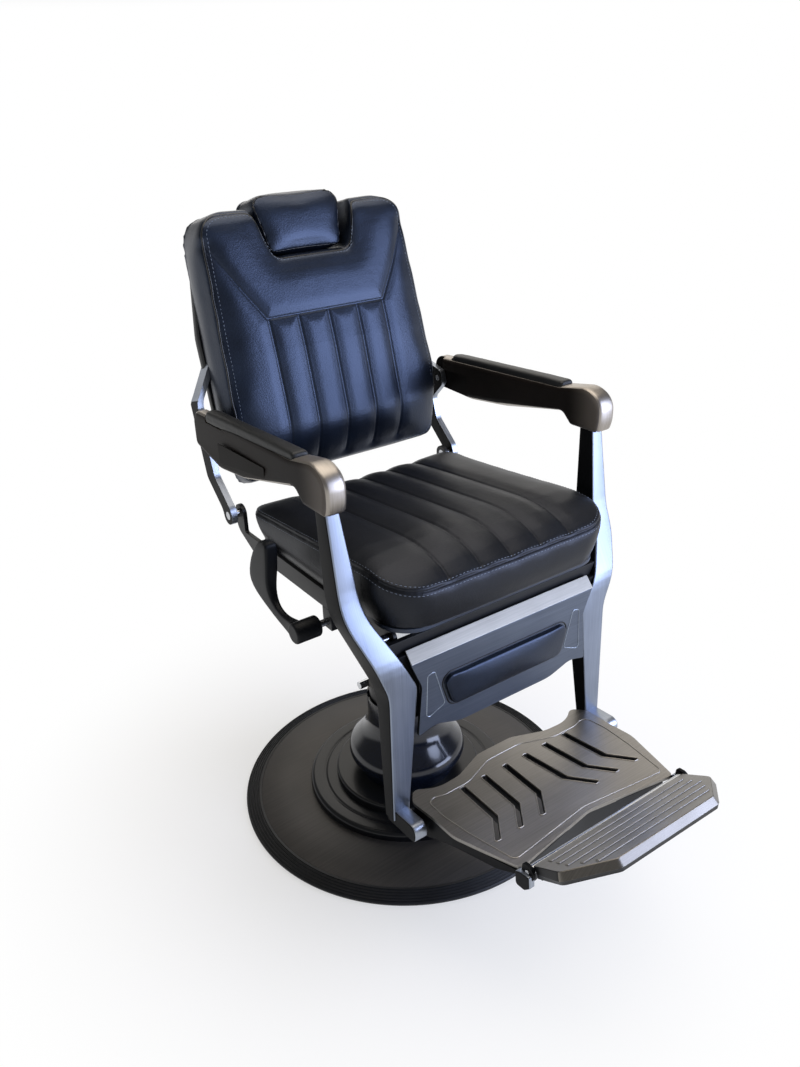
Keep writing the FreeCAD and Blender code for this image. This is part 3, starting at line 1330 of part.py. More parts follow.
def check_and_export():
    """Stop on any failed object, then write each sub-part under its own name."""
    doc.recompute()
    for thing in doc.Objects:
        if {"Invalid", "Error"} & set(thing.State):
            raise RuntimeError(f"{thing.Label} failed: {thing.State}")
    os.makedirs("parts", exist_ok=True)
    for thing in nodes:
        if thing.Shape.isNull() or not thing.Shape.isValid():
            raise RuntimeError(f"{thing.Label} has no valid shape")
    for thing in nodes:
        thing.Shape.exportStep(f"parts/{thing.Label}.step")
    print(len(nodes), "sub-parts written")


base_parts()
pump_parts()
pedal_parts()
lift_parts()
seat_frame_parts()
seat_parts()
lever_parts()
lock_parts()
back_parts()
headrest_parts()
for side_name, side_sign in SIDES:
    leg(side_name, side_sign)
    arm(side_name, side_sign)
node(group("toes", [toe(side_name, side_sign) for side_name, side_sign in SIDES]))
panel_parts()
footrest_parts()
flip_parts()
check_and_export()
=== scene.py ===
# %% [markdown]
# # A barber chair, dressed for rendering
# The solid model of the chair is already exact: every body sits where it belongs and every joint has its
# place. This lesson puts the chair's real surfaces round those solids: stitched leatherette, brushed cast
# metal, gloss enamel and ribbed rubber. Everything is in metres in the chair's own frame. The floor is at
# z = 0, the chair faces -Y, and the sitter's right hand is on -X.

# %% Load the solid frame
import math
import bmesh
import bpy
import numpy as np
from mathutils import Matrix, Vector
from mathutils.bvhtree import BVHTree
from mathutils.kdtree import KDTree


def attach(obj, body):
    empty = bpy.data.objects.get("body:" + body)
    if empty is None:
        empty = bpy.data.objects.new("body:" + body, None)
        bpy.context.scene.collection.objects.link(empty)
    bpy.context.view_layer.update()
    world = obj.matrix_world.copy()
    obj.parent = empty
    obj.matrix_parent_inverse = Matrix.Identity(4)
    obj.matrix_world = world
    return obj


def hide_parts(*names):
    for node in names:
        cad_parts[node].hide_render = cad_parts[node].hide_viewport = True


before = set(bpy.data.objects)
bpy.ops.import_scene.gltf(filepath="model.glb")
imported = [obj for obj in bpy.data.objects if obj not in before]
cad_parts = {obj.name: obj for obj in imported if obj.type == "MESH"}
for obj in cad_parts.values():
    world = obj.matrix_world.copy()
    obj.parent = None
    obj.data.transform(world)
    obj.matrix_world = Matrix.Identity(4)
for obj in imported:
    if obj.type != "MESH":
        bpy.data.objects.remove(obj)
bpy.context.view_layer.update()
MM = 0.001
LEAN = math.radians(16.3)
SIDES = (("right", -1), ("left", 1))
print("solid nodes:", len(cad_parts))

# %% [markdown]
# ## Tools for shapes
# Most of the chair's castings can be described by outlines with rounded corners. One function turns such
# corners into a polyline with true arcs. Another joins a row of equal rings into a skin, which is how the
# legs and arms get soft edges without any repair work afterwards. All sizes here are in millimetres.

# %% Outlines and skins
def unit(vector):
    return vector / np.linalg.norm(vector)


def rounded(corners, closed=True, step=math.radians(9)):
    """Corners (u, v) or (u, v, radius) as one polyline with true arcs."""
    points = [np.array(corner[:2], float) for corner in corners]
    line = []
    for i, corner in enumerate(corners):
        at_end = not closed and i in (0, len(corners) - 1)
        if len(corner) == 2 or at_end:
            line.append(points[i])
            continue
        back = unit(points[i - 1] - points[i])
        ahead = unit(points[(i + 1) % len(points)] - points[i])
        half = math.acos(np.clip(back @ ahead, -1, 1)) / 2
        middle = points[i] + unit(back + ahead) * corner[2] / math.sin(half)
        first = points[i] + back * corner[2] / math.tan(half) - middle
        last = points[i] + ahead * corner[2] / math.tan(half) - middle
        start = math.atan2(first[1], first[0])
        turn = math.atan2(first[0] * last[1] - first[1] * last[0], first @ last)
        count = max(2, math.ceil(abs(turn) / step))
        for k in range(count + 1):
            angle = start + turn * k / count
            line.append(middle + corner[2] * np.array((math.cos(angle), math.sin(angle))))
    return np.array(line)


def shade(piece, crease=35):
    """Smooth shading, with edges sharper than the crease angle left crisp."""
    piece.data.shade_smooth()
    piece.data.set_sharp_from_angle(angle=math.radians(crease))
    return piece


def stand(name, data):
    """Put a mesh, curve, light or camera in the scene as an object."""
    piece = bpy.data.objects.new(name, data)
    bpy.context.scene.collection.objects.link(piece)
    return piece


SAME_POINT = 1e-6


def skin(name, points, faces, crease=35):
    """A mesh piece from points in millimetres, closed and facing outwards."""
    mesh = bpy.data.meshes.new(name)
    mesh.from_pydata([tuple(p) for p in np.asarray(points, float) * MM], [], faces)
    form = bmesh.new()
    form.from_mesh(mesh)
    bmesh.ops.remove_doubles(form, verts=form.verts, dist=SAME_POINT)
    bmesh.ops.recalc_face_normals(form, faces=form.faces)
    form.to_mesh(mesh)
    form.free()
    return shade(stand(name, mesh), crease)


def loft(name, rings, around=False, crease=35):
    """A skin over a row of rings with equal counts, capped at both ends or closed round."""
    count = len(rings[0])
    total = len(rings)
    faces = []
    for r in range(total if around else total - 1):
        low, high = r * count, (r + 1) % total * count
        faces += [(low + i, low + (i + 1) % count, high + (i + 1) % count, high + i) for i in range(count)]
    if not around:
        faces.append(tuple(range(count)))
        faces.append(tuple(range((total - 1) * count, total * count)))
    return skin(name, np.vstack(rings), faces, crease)


TURN_STEPS = 160


def turned(name, profile):
    """A profile of (radius, height) points turned about the chair's column."""
    rings = []
    for k in range(TURN_STEPS):
        angle = 2 * math.pi * k / TURN_STEPS
        rings.append([(r * math.cos(angle), r * math.sin(angle), z) for r, z in profile])
    return loft(name, rings, around=True)


def plain(piece):
    """What a piece looks like with its modifiers or curve applied, as a plain mesh."""
    graph = bpy.context.evaluated_depsgraph_get()
    return bpy.data.meshes.new_from_object(piece.evaluated_get(graph), depsgraph=graph)


def settle(piece):
    """Apply a piece's modifiers, so that a plain mesh is left."""
    mesh = plain(piece)
    piece.modifiers.clear()
    piece.data = mesh
    return piece


def finer(piece):
    """Split every face in four, eased into a smooth surface."""
    split = piece.modifiers.new("finer", "SUBSURF")
    split.levels = split.render_levels = 1
    return settle(piece)


def coordinates(piece):
    points = np.empty(len(piece.data.vertices) * 3)
    piece.data.vertices.foreach_get("co", points)
    return points.reshape(-1, 3) / MM


def move_to(piece, points):
    piece.data.vertices.foreach_set("co", (np.asarray(points) * MM).ravel())
    piece.data.update()


BEVEL_ABOVE = math.radians(30)


def bevel(piece, width, segments=2, pale_rounds=False):
    """Small rounds on a piece's edges. If asked, the rounds take the second material: a pale tone, part wear
    and part painted highlight.
    """
    edge = piece.modifiers.new("rounds", "BEVEL")
    edge.width = width * MM
    edge.segments = segments
    edge.limit_method = "ANGLE"
    edge.angle_limit = BEVEL_ABOVE
    edge.material = 1 if pale_rounds else -1
    shade(settle(piece), 40)
    flat = piece.modifiers.new("flat_faces", "WEIGHTED_NORMAL")
    flat.keep_sharp = True
    return settle(piece)


def carve(piece, *cutters):
    """Take cutters away from a piece, then remove them."""
    for cutter in cutters:
        tool = piece.modifiers.new("carve", "BOOLEAN")
        tool.operation = "DIFFERENCE"
        tool.object = cutter
        tool.solver = "EXACT"
    settle(piece)
    for cutter in cutters:
        bpy.data.objects.remove(cutter)
    return piece


def slab(name, outline, low, high, frame_of=None):
    """An outline in (x, y) padded from low to high in z, then carried by frame_of."""
    rings = [[(u, v, low) for u, v in outline], [(u, v, high) for u, v in outline]]
    if frame_of:
        rings = [[frame_of(p) for p in ring] for ring in rings]
    return loft(name, rings)


print("shape tools ready")

# %% [markdown]
# ## Tools for finishes
# Each finish starts from what the real surface is. Colours are written as sRGB hex values, the way a
# colour picker gives them, and one function makes them linear for the shader. Patterns use object
# coordinates in metres, so a scale is one over the real size of the grain.

# %% Colour and node tools
def colour(code):
    """An sRGB hex colour as linear RGBA."""
    parts = [int(code[i:i + 2], 16) / 255 for i in (1, 3, 5)]
    linear = [c / 12.92 if c <= 0.04045 else ((c + 0.055) / 1.055) ** 2.4 for c in parts]
    return (*linear, 1.0)


def wire(node, values):
    """Set a node's properties, inputs or colour stops, and link inputs to other nodes' outputs."""
    for key, value in values.items():
        if isinstance(value, bpy.types.Node):
            value = value.outputs[0]
        if key == "stops":
            band = node.color_ramp.elements
            while len(band) < len(value):
                band.new(0.5)
            for element, (position, tone) in zip(band, value):
                element.position, element.color = position, tone
        elif isinstance(value, bpy.types.NodeSocket):
            node.id_data.links.new(value, node.inputs[key])
        elif isinstance(key, str) and hasattr(node, key):
            setattr(node, key, value)
        else:
            node.inputs[key].default_value = value
    return node


def add(tree, kind, values=None):
    """Add a node. A value that is another node links to that node's first output."""
    return wire(tree.nodes.new(kind), values or {})


def finish(name):
    """A new material with its tree, shader and object coordinates."""
    material = bpy.data.materials.new(name)
    material.use_nodes = True
    tree = material.node_tree
    place = add(tree, "ShaderNodeTexCoord").outputs["Object"]
    return material, tree, tree.nodes["Principled BSDF"], place


def tones(dark, light, low=0.3, high=0.7):
    """Colour stops from a dark tone to a light one."""
    return [(low, colour(dark)), (high, colour(light))]


NOISE, RAMP, MATH = "ShaderNodeTexNoise", "ShaderNodeValToRGB", "ShaderNodeMath"
BUMP, RANGE = "ShaderNodeBump", "ShaderNodeMapRange"
print("finish tools ready")

# %% [markdown]
# ## Leatherette
# The cushions are covered in vinyl leatherette: a pressed pebble grain under a thin smooth top coat. It
# is nearly black, and what the eye reads is its soft sheen. Grain on the real sheet is about 1 mm, which
# is finer than a pixel here, so it is drawn at 2.6 mm. A slow variation over some 70 mm breaks up the
# sheen the way a tightly pulled cover does.

# %% Leatherette finishes
DRAWN_PEBBLE, DRAWN_PORE, PULL, DRIFT = 0.0026, 0.0011, 0.035, 0.07


def leatherette(name, dark, light, rough, gloss=0.5, tint="#ffffff"):
    material, tree, shader, place = finish(name)
    slow = add(tree, NOISE, {"Scale": 1 / DRIFT, "Detail": 3.0, "Vector": place})
    tone = add(tree, RAMP, {"stops": tones(dark, light, 0.3, 0.75), "Fac": slow})
    grain = add(tree, "ShaderNodeTexVoronoi",
                {"feature": "SMOOTH_F1", "Scale": 1 / DRAWN_PEBBLE, "Vector": place})
    pores = add(tree, NOISE, {"Scale": 1 / DRAWN_PORE, "Detail": 2.0, "Vector": place})
    pull = add(tree, NOISE, {"Scale": 1 / PULL, "Detail": 2.0, "Distortion": 0.8, "Vector": place})
    fine = add(tree, MATH, {"operation": "MULTIPLY_ADD", 0: pores, 1: 0.45, 2: grain})
    slack = add(tree, BUMP, {"Strength": 0.10, "Distance": 0.004, "Height": pull})
    pebble = add(tree, BUMP, {"Strength": 0.22, "Distance": 0.0007, "Height": fine, "Normal": slack})
    wear = add(tree, RANGE, {"To Min": rough - 0.05, "To Max": rough + 0.05, "Value": slow})
    wire(shader, {"Base Color": tone, "Normal": pebble, "Roughness": wear, "Specular IOR Level": gloss,
                  "Specular Tint": colour(tint)})
    return material


# Black vinyl on the back, headrest and calf pad, with a painted blue sheen: blue-black base tones and a
# blue-tinted shine.
blue_sheen_cover = leatherette("leatherette_black_painted_blue_sheen", "#080b11", "#0d141f", 0.37, 0.64,
                         "#b9cdf6")
# Plain black vinyl with a soft grey shine, on the seat.
seat_cover = leatherette("leatherette_pressed_black", "#0a0b0d", "#101215", 0.44, 0.32, "#e6ecff")
# Tight smooth vinyl over cord: a dark, slightly glossy line.
trim_cover = leatherette("leatherette_piping_black", "#0a0b0e", "#101216", 0.34)
# Dull vinyl pulled over a board, behind the back.
shell_cover = leatherette("leatherette_shell_black", "#0d0f13", "#14171c", 0.46, 0.4)

# Spun thread: short pale dashes.
thread, tree, shader, place = finish("polyester_thread")
twist = add(tree, NOISE, {"Scale": 1 / 0.0008, "Vector": place})
wire(shader, {"Base Color": add(tree, RAMP, {"stops": tones("#4e5663", "#788394"), "Fac": twist}),
              "Roughness": 0.6})
print("leatherette ready")

# %% [markdown]
# ## Metals
# The legs and the front panel are cast aluminium with a brushed gunmetal finish: long fine scratches
# along the casting, lighter on the worn edges. The arms and the footrest have the same casting under a
# browner antique finish. Brush lines are about 0.2 mm wide in life and are drawn at 1.1 to 1.6 mm, so
# that they show. A stretched noise makes them, long along the brushing and short across it.

# %% Metal finishes
def brushed(name, dark, light, rough, across, width=0.0016, length=0.12, metallic=1.0):
    """A brushed metal whose scratches lie side by side across one axis: 0 for X, 1 for Y, 2 for Z."""
    material, tree, shader, place = finish(name)
    stretch = [1 / length] * 3
    stretch[across] = 1 / width
    laid = add(tree, "ShaderNodeMapping", {"Scale": stretch, "Vector": place})
    lines = add(tree, NOISE, {"Scale": 1.0, "Detail": 4.0, "Roughness": 0.65, "Vector": laid})
    cloud = add(tree, NOISE, {"Scale": 1 / 0.09, "Detail": 2.0, "Vector": place})
    both = add(tree, MATH, {"operation": "MULTIPLY_ADD", 0: cloud, 1: 0.5, 2: lines})
    tone = add(tree, RAMP, {"stops": tones(dark, light, 0.5, 1.0), "Fac": both})
    wear = add(tree, RANGE, {"From Min": 0.3, "From Max": 0.7, "To Min": rough - 0.04,
                             "To Max": rough + 0.05, "Value": lines})
    scratch = add(tree, BUMP, {"Strength": 0.05, "Distance": 0.0005, "Height": lines})
    wire(shader, {"Base Color": tone, "Roughness": wear, "Normal": scratch, "Metallic": metallic})
    return material


# Legs: cool mid grey with fine lengthwise lines and a broad soft shine.
gunmetal = brushed("brushed_gunmetal", "#767e8d", "#8f97a6", 0.42, 0, 0.0011)
# Polished corners and toes: the same grey, lighter, part polish and part painted highlight.
gunmetal_edge = brushed("brushed_gunmetal_edge", "#878d98", "#a5abb5", 0.36, 0, 0.0011)
# Front panel: darker, brushed from side to side, nearly even.
panel_metal = brushed("brushed_gunmetal_panel", "#545b68", "#666d7a", 0.42, 2)
# Pressed line on the panel: a thin pale edge.
panel_bead = brushed("brushed_gunmetal_bead", "#8a94a3", "#a5afbd", 0.34, 2)
# Knuckle and top of an arm: warm grey-brown metal with a bright soft highlight.
bronze_arm = brushed("antique_cast_arm", "#89837c", "#aea79f", 0.38, 0, 0.0011)
# Tread and flip plate: warm mid grey, brushed from side to side.
bronze_tread = brushed("antique_tread", "#7f7c78", "#979490", 0.42, 1)
# Edges and raised lines of the tread: pale warm grey, part wear and part painted highlight.
tread_edge = brushed("antique_tread_edge", "#98938c", "#b8b3ab", 0.34, 1)
# Bevel of the flip plate: a band a little brighter than its top.
flip_edge = brushed("antique_flip_edge", "#6f6b65", "#88847e", 0.42, 1)
# Fold of the front panel: bright warm silver.
bright_strip = brushed("bright_brushed_strip", "#7f7c75", "#96938b", 0.42, 1)
# Pins and rods: clean pale steel.
steel = brushed("bright_turned_steel", "#a2a4a8", "#c4c6ca", 0.25, 1)
# Ram and pedal shaft: a sharp mirror.
chrome = brushed("hard_chrome_plate", "#c2c5ca", "#d9dce0", 0.08, 1)


def coated(name, dark, light, rough, grain, depth, coat=0.0, gloss=0.5):
    """Paint, moulded plastic or rubber: a colour that drifts a little over a fine bumpy surface."""
    material, tree, shader, place = finish(name)
    drift = add(tree, NOISE, {"Scale": 1 / 0.08, "Detail": 4.0, "Vector": place})
    tone = add(tree, RAMP, {"stops": tones(dark, light), "Fac": drift})
    wear = add(tree, RANGE, {"To Min": max(rough - 0.05, 0.03), "To Max": rough + 0.05, "Value": drift})
    bumps = add(tree, NOISE, {"Scale": 1 / grain, "Detail": 3.0, "Vector": place})
    relief = add(tree, BUMP, {"Strength": 0.25, "Distance": depth, "Height": bumps})
    wire(shader, {"Base Color": tone, "Roughness": wear, "Normal": relief, "Specular IOR Level": gloss,
                  "Coat Weight": coat, "Coat Roughness": 0.06})
    return material


# Bell cover: deep navy gloss with sharp reflections.
enamel = coated("sprayed_enamel_navy", "#090d17", "#0f1625", 0.16, 0.03, 0.00015, coat=0.25, gloss=0.4)
# Raised step and disc: black with a soft gloss.
step_paint = coated("sprayed_gloss_black", "#0b0c0f", "#121418", 0.30, 0.004, 0.0001, coat=0.1, gloss=0.3)
# Frame pieces: dull black that keeps to the shadows.
satin_paint = coated("sprayed_satin_black", "#111214", "#191a1d", 0.42, 0.002, 0.0002, gloss=0.3)
# Edge ring and pedal pad: dark matt rubber.
rubber = coated("ribbed_moulded_rubber", "#0f1013", "#17191d", 0.50, 0.0025, 0.0004, gloss=0.35)
# Lever: black plastic with a faint cool shine.
moulded = coated("moulded_plastic_black", "#0c0e12", "#12151a", 0.44, 0.0018, 0.0003, gloss=0.15)
# Seat pan: blue-grey plastic, a thin paler line under the seat.
pan_finish = coated("moulded_pan_blue_grey", "#262c38", "#323a48", 0.45, 0.003, 0.0003, gloss=0.4)
# Base plate: neutral charcoal with faint brush lines.
plate_paint = brushed("brushed_charcoal_paint", "#383634", "#494643", 0.48, 1, 0.004, 0.2, 0.35)
# Flanks of the castings, the footrest's flanges and the panel's gap sheets: near-black painted shade that
# hardly shines.
painted_flank_shade = coated("flank_black_painted_shade", "#0a0b0d", "#101114", 0.46, 0.002, 0.0002, gloss=0.08)
# Flank of an arm: nearly black brown painted shade with little shine, blending to a paler painted highlight
# towards the knuckle.
arm_flank_shade = coated("arm_flank_painted_shade", "#161311", "#201b19", 0.50, 0.002, 0.0002, gloss=0.08)
KNUCKLE_LIGHT_FROM, KNUCKLE_LIGHT_TO = -0.165, -0.245
tree = arm_flank_shade.node_tree
shader = tree.nodes["Principled BSDF"]
place = add(tree, "ShaderNodeSeparateXYZ", {"Vector": add(tree, "ShaderNodeTexCoord").outputs["Object"]})
# Towards the knuckle the flank blends to a paler tone: a painted highlight.
knuckle_light = add(tree, RANGE, {"interpolation_type": "SMOOTHSTEP", "From Min": KNUCKLE_LIGHT_FROM,
                           "From Max": KNUCKLE_LIGHT_TO, "Value": place.outputs["Y"]})
dark_tone = shader.inputs["Base Color"].links[0].from_socket
lit_tone = add(tree, "ShaderNodeMix", {"data_type": "RGBA", 0: knuckle_light, 6: dark_tone, 7: colour("#6f6963")})
wire(shader, {"Base Color": lit_tone.outputs[2]})
# A flat patch on each arm's outer side: the darkest flat black.
plate_black = coated("arm_patch_flat_black", "#110e0d", "#171412", 0.55, 0.002, 0.0002, gloss=0.08)
# Arm pads: black moulded foam skin.
pad_skin = coated("moulded_pad_skin", "#151617", "#1e2021", 0.46, 0.0016, 0.0005, gloss=0.35)
# Strip under the seat's front: pale silver with a pebbled look.
silver_strip = brushed("pressed_silver_pebble", "#6e706f", "#bcbdb9", 0.45, 2, 0.006, 0.008)
print("finishes:", len(bpy.data.materials))

# %% [markdown]
# ## Dressing a piece
# Every piece rides on one body of the solid model, takes its finish, and hides the solid that it stands for.
# Pieces that only need rounded edges are copies of their solids, with the loose triangles joined and a small
# bevel added.

# %% Dressing
def dress(piece, body, slot, materials, *nodes, picks=None):
    """Give a piece its body, materials and the solids it hides; the slot is not used. Picks say which face
    takes which.
    """
    if not isinstance(materials, (list, tuple)):
        materials = [materials]
    piece.data.materials.clear()
    for material in materials:
        piece.data.materials.append(material)
    if picks:
        piece.data.polygons.foreach_set("material_index", picks)
    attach(piece, body)
    if nodes:
        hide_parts(*nodes)
    return piece


def joined_copy(node, name):
    """A copy of a solid's mesh with its triangles joined and flat faces made whole."""
    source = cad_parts[node].data
    points = [tuple(v.co / MM) for v in source.vertices]
    piece = skin(name, points, [tuple(p.vertices) for p in source.polygons])
    form = bmesh.new()
    form.from_mesh(piece.data)
    bmesh.ops.remove_doubles(form, verts=form.verts, dist=0.02 * MM)
    bmesh.ops.dissolve_limit(form, angle_limit=math.radians(0.5), verts=form.verts, edges=form.edges)
    form.to_mesh(piece.data)
    form.free()
    return piece


def softened(node, name, body, slot, material, width):
    """A solid with rounded edges."""
    return dress(bevel(joined_copy(node, name), width), body, slot, material, node)


SOFT_EDGE = 0.8
FRAME_PIECES = {
    ("frame_paint", satin_paint): {
        "base": "pump_cylinder pump_head", "pedal": "pedal_arm", "lift": "turntable",
        "seat": "swivel_hub seat_mount_plate cross_tubes side_rails leg_brackets lever_block lock_cylinder "
                "lock_clamps", "back": "headrest_socket", "headrest": "headrest_bracket",
        "leg_frame": "leg_cross_bar lock_fork"},
    ("bright_steel", steel): {
        "base": "pump_bolts", "lift": "swivel_bearing", "seat": "back_pivot_pins leg_pivot_pins",
        "lever": "lever_shaft", "lock_rod": "lock_rod", "back": "arm_link_pins", "headrest": "headrest_post",
        "right_arm": "arm_pin_right", "left_arm": "arm_pin_left", "footrest": "footrest_pins flip_pins",
        "flip": "flip_tube"},
    ("bright_steel", chrome): {"pedal": "pedal_shaft"},
    ("ram_chrome", chrome): {"lift": "lift_ram"},
    ("pad_rubber", rubber): {"pedal": "pedal_pad"},
    ("strip_silver", silver_strip): {"seat": "seat_front_strip"},
}
frame_count = 0
for (slot_name, material), bodies in FRAME_PIECES.items():
    for body_name, names in bodies.items():
        for node_name in names.split():
            softened(node_name, node_name + "_soft", body_name, slot_name, material, SOFT_EDGE)
            frame_count += 1
print("softened frame pieces:", frame_count)

# %% [markdown]
# ## The base
# The base is a spun steel disc with a black ribbed rubber edge. Turning a profile about the column gives
# all of it. The rubber has five shallow grooves, which catch the light as thin rings.

# %% Turn the base
RING_INNER, RING_OUTER = 308, 340
ring = [(RING_INNER, 0), (RING_OUTER - 1.5, 0), (RING_OUTER, 1.5), (RING_OUTER, 5)]
for groove in range(5):
    radius = 338.6 - 5.4 * groove
    height = 6.6 + 1.5 * groove
    ring += [(radius, height - 0.4), (radius - 1.0, height + 0.6), (radius - 1.7, height - 1.0),
             (radius - 3.0, height - 0.9), (radius - 3.9, height + 0.7)]
ring += [(RING_INNER + 1.5, 13.4), (RING_INNER, 12.8)]
dress(turned("base_edge_ring_ribbed", ring), "base", "edge_rubber", rubber, "base_edge_ring")

plate = [(0, 0), (RING_INNER, 0), (RING_INNER, 12.6), (RING_INNER - 1, 13.3), (250, 17.8), (203, 21), (0, 21)]
dress(turned("base_plate_spun", plate), "base", "base_paint", plate_paint, "base_plate")
step = rounded([(0, 21), (203, 21), (203, 39, 9), (176, 39, 1), (172, 37.6, 2), (168, 39, 2), (0, 39)])
dress(turned("base_step_spun", step), "base", "base_paint", step_paint, "base_step")
disc = rounded([(0, 39), (148, 39), (148, 55, 5), (0, 55)])
dress(turned("base_disc_spun", disc), "base", "base_paint", step_paint, "base_disc")
bell = rounded([(95, 55), (98, 55), (125, 106, 30), (77, 160, 62), (77, 230.7), (74, 230.7), (74, 160, 65),
                (121, 106, 27)], step=math.radians(4))
dress(turned("bell_cover_spun", bell), "base", "bell_gloss", enamel, "bell_cover")
print("base turned")

# %% [markdown]
# ## Cast bodies with soft edges
# Several castings are one side profile carried across X. Instead of a bevel, which fails where edges crowd
# together, the profile is drawn in ring by ring near both ends, along a quarter circle. That gives a soft
# edge all round, like the radius that a mould leaves.

# %% Profiles with soft edges
def inward(line, amount):
    """A closed outline drawn in by an amount."""
    ahead = np.roll(line, -1, 0) - line
    ahead = ahead / np.linalg.norm(ahead, axis=1)[:, None]
    way = ahead + np.roll(ahead, 1, 0)
    way = way / np.linalg.norm(way, axis=1)[:, None]
    area = np.sum(line[:, 0] * np.roll(line[:, 1], -1) - line[:, 1] * np.roll(line[:, 0], -1))
    return line + np.sign(area) * amount * np.column_stack([-way[:, 1], way[:, 0]])


ROUND_STEPS, LAST_RIM = 5, 1.5


def pillow(name, profile, start, end, radius, warp=None):
    """A (y, z) profile carried from x = start to end, with both rims rounded by a radius."""
    run = np.sign(end - start)
    turn = np.linspace(0, math.pi / 2, ROUND_STEPS)
    stations = [(start, radius + LAST_RIM)]
    stations += [(start + run * radius * (1 - math.cos(a)), radius * (1 - math.sin(a))) for a in turn]
    stations += [(end - run * radius * (1 - math.cos(a)), radius * (1 - math.sin(a))) for a in turn[::-1]]
    stations.append((end, radius + LAST_RIM))
    rings = []
    for x, drawn in stations:
        ring = np.array([(x, y, z) for y, z in inward(profile, drawn)])
        rings.append(warp(ring) if warp else ring)
    return loft(name, rings)


def joined(name, pieces):
    """Several pieces as one mesh."""
    form = bmesh.new()
    for piece in pieces:
        form.from_mesh(piece.data)
    mesh = bpy.data.meshes.new(name)
    form.to_mesh(mesh)
    form.free()
    for piece in pieces:
        bpy.data.objects.remove(piece)
    return shade(stand(name, mesh), 40)


print("soft-edged profiles ready")

# %% [markdown]
# ## The legs
# Each leg is one casting that bends in both views: seen from the front it swings in under the seat, and
# seen from the side it leans back towards the arm. Its section is a rectangle at every height, so a stack
# of rounded rectangles gives the casting with its soft corners already in place. The broad front is
# brushed bright, and the flanks get near-black painted shade.

# %% Cast the legs
CORNER_STEPS = 4


def ring_of(corners, radius):
    """A closed section with every corner rounded the same way, in a fixed number of points."""
    line = []
    points = [np.array(c, float) for c in corners]
    for i, corner in enumerate(points):
        before, after = points[i - 1] - corner, points[(i + 1) % len(points)] - corner
        back, ahead = unit(before), unit(after)
        half = math.acos(np.clip(back @ ahead, -1, 1)) / 2
        room = 0.45 * min(np.linalg.norm(before), np.linalg.norm(after))
        reach = min(radius / math.tan(half), room)
        start, end = corner + back * reach, corner + ahead * reach
        for k in range(CORNER_STEPS + 1):
            t = k / CORNER_STEPS
            line.append((1 - t) ** 2 * start + 2 * t * (1 - t) * corner + t ** 2 * end)
    return line


def along(line, stations, axis):
    """The other coordinate of a polyline at given stations on one axis."""
    order = np.argsort(line[:, axis], kind="stable")
    return np.interp(stations, line[order, axis], line[order, 1 - axis])


LEG_HEIGHTS = np.linspace(240, 818, 150)
# The outer, inner, front and rear edges of a leg, each against its height.
LEG_EDGES = ([(282, 818), (283, 612, 110), (235, 483, 90), (238, 240)],
             [(261, 818), (244, 612, 110), (180, 483, 30), (205, 240)],
             [(-218, 818), (-247, 640, 120), (-298, 540, 90), (-300, 240)],
             [(-190, 818), (-203, 640, 80), (-262, 450, 80), (-275, 240)])
leg_edges = [along(rounded(edge, False), LEG_HEIGHTS, 1) for edge in LEG_EDGES]
LEG_ROUND = 4


def face_and_shaded_flank(piece, body, slot, face, flank, *nodes, limit=0.72):
    """Give a casting its finish on its fronts and tops, and the flank material, painted shade, on the flanks
    that face along X.
    """
    picks = [1 if abs(polygon.normal.x) > limit else 0 for polygon in piece.data.polygons]
    return dress(piece, body, slot, [face, flank], *nodes, picks=picks)


for side, sign in SIDES:
    rings = []
    for z, outer, inner, front, rear in zip(LEG_HEIGHTS, *leg_edges):
        section = ring_of([(inner, front), (outer, front), (outer, rear), (inner, rear)], LEG_ROUND)
        rings.append([(sign * x, y, z) for x, y in section])
    leg = loft(f"leg_{side}_cast", rings)
    face_and_shaded_flank(leg, "leg_frame", "leg_cast", gunmetal, painted_flank_shade, f"leg_{side}")

TOE_INNER, TOE_OUTER, TOE_TIP = 209, 234, -356
toe_side = rounded([(-275, 226, 3), (TOE_TIP + 2, 229, 12), (TOE_TIP, 262, 15), (-300, 258, 20),
                    (-275, 262, 3)])
toes = [pillow(f"toe_{side}", toe_side, sign * TOE_INNER, sign * TOE_OUTER, 2.5) for side, sign in SIDES]
# The toes' flanks take near-black painted shade.
face_and_shaded_flank(joined("toes_cast", toes), "leg_frame", "leg_cast", gunmetal_edge, painted_flank_shade, "toes")
print("legs cast")

# %% [markdown]
# ## The arms
# An arm is a hollow casting: a knuckle over the top of the leg, a long body with a recess for the back's
# bar, and a pad let into its top. It is one side profile with softly rolled edges. The inner lower edge
# sits higher than the outer one, which leaves a slanting underside. The knuckle's cavity, the bar's recess
# and the bed of the pad are carved out after, so that nothing rubs when the chair reclines.

# %% Cast the arms
ARM_INNER, ARM_OUTER, ARM_ROUND = 252, 291, 9
PAD_FRONT, PAD_REAR, PAD_ROOM = -147, 171, 1.2
LINK_HOLE = (203.9, 785.6, 10)
arm_profile = rounded([
    (226, 762, 13), (226, 828, 26), (-140, 846, 60), (-206, 858, 46), (-243, 842, 34), (-243, 800, 60),
    (-236, 782, 11), (-172, 782, 11), (-150, 803, 18), (20, 760, 110), (110, 750, 110)], step=math.radians(6))


def pad_bed(y):
    """The height of the bed that the arm's pad lies in."""
    return np.interp(y, [-150, 165], [835, 819.9])


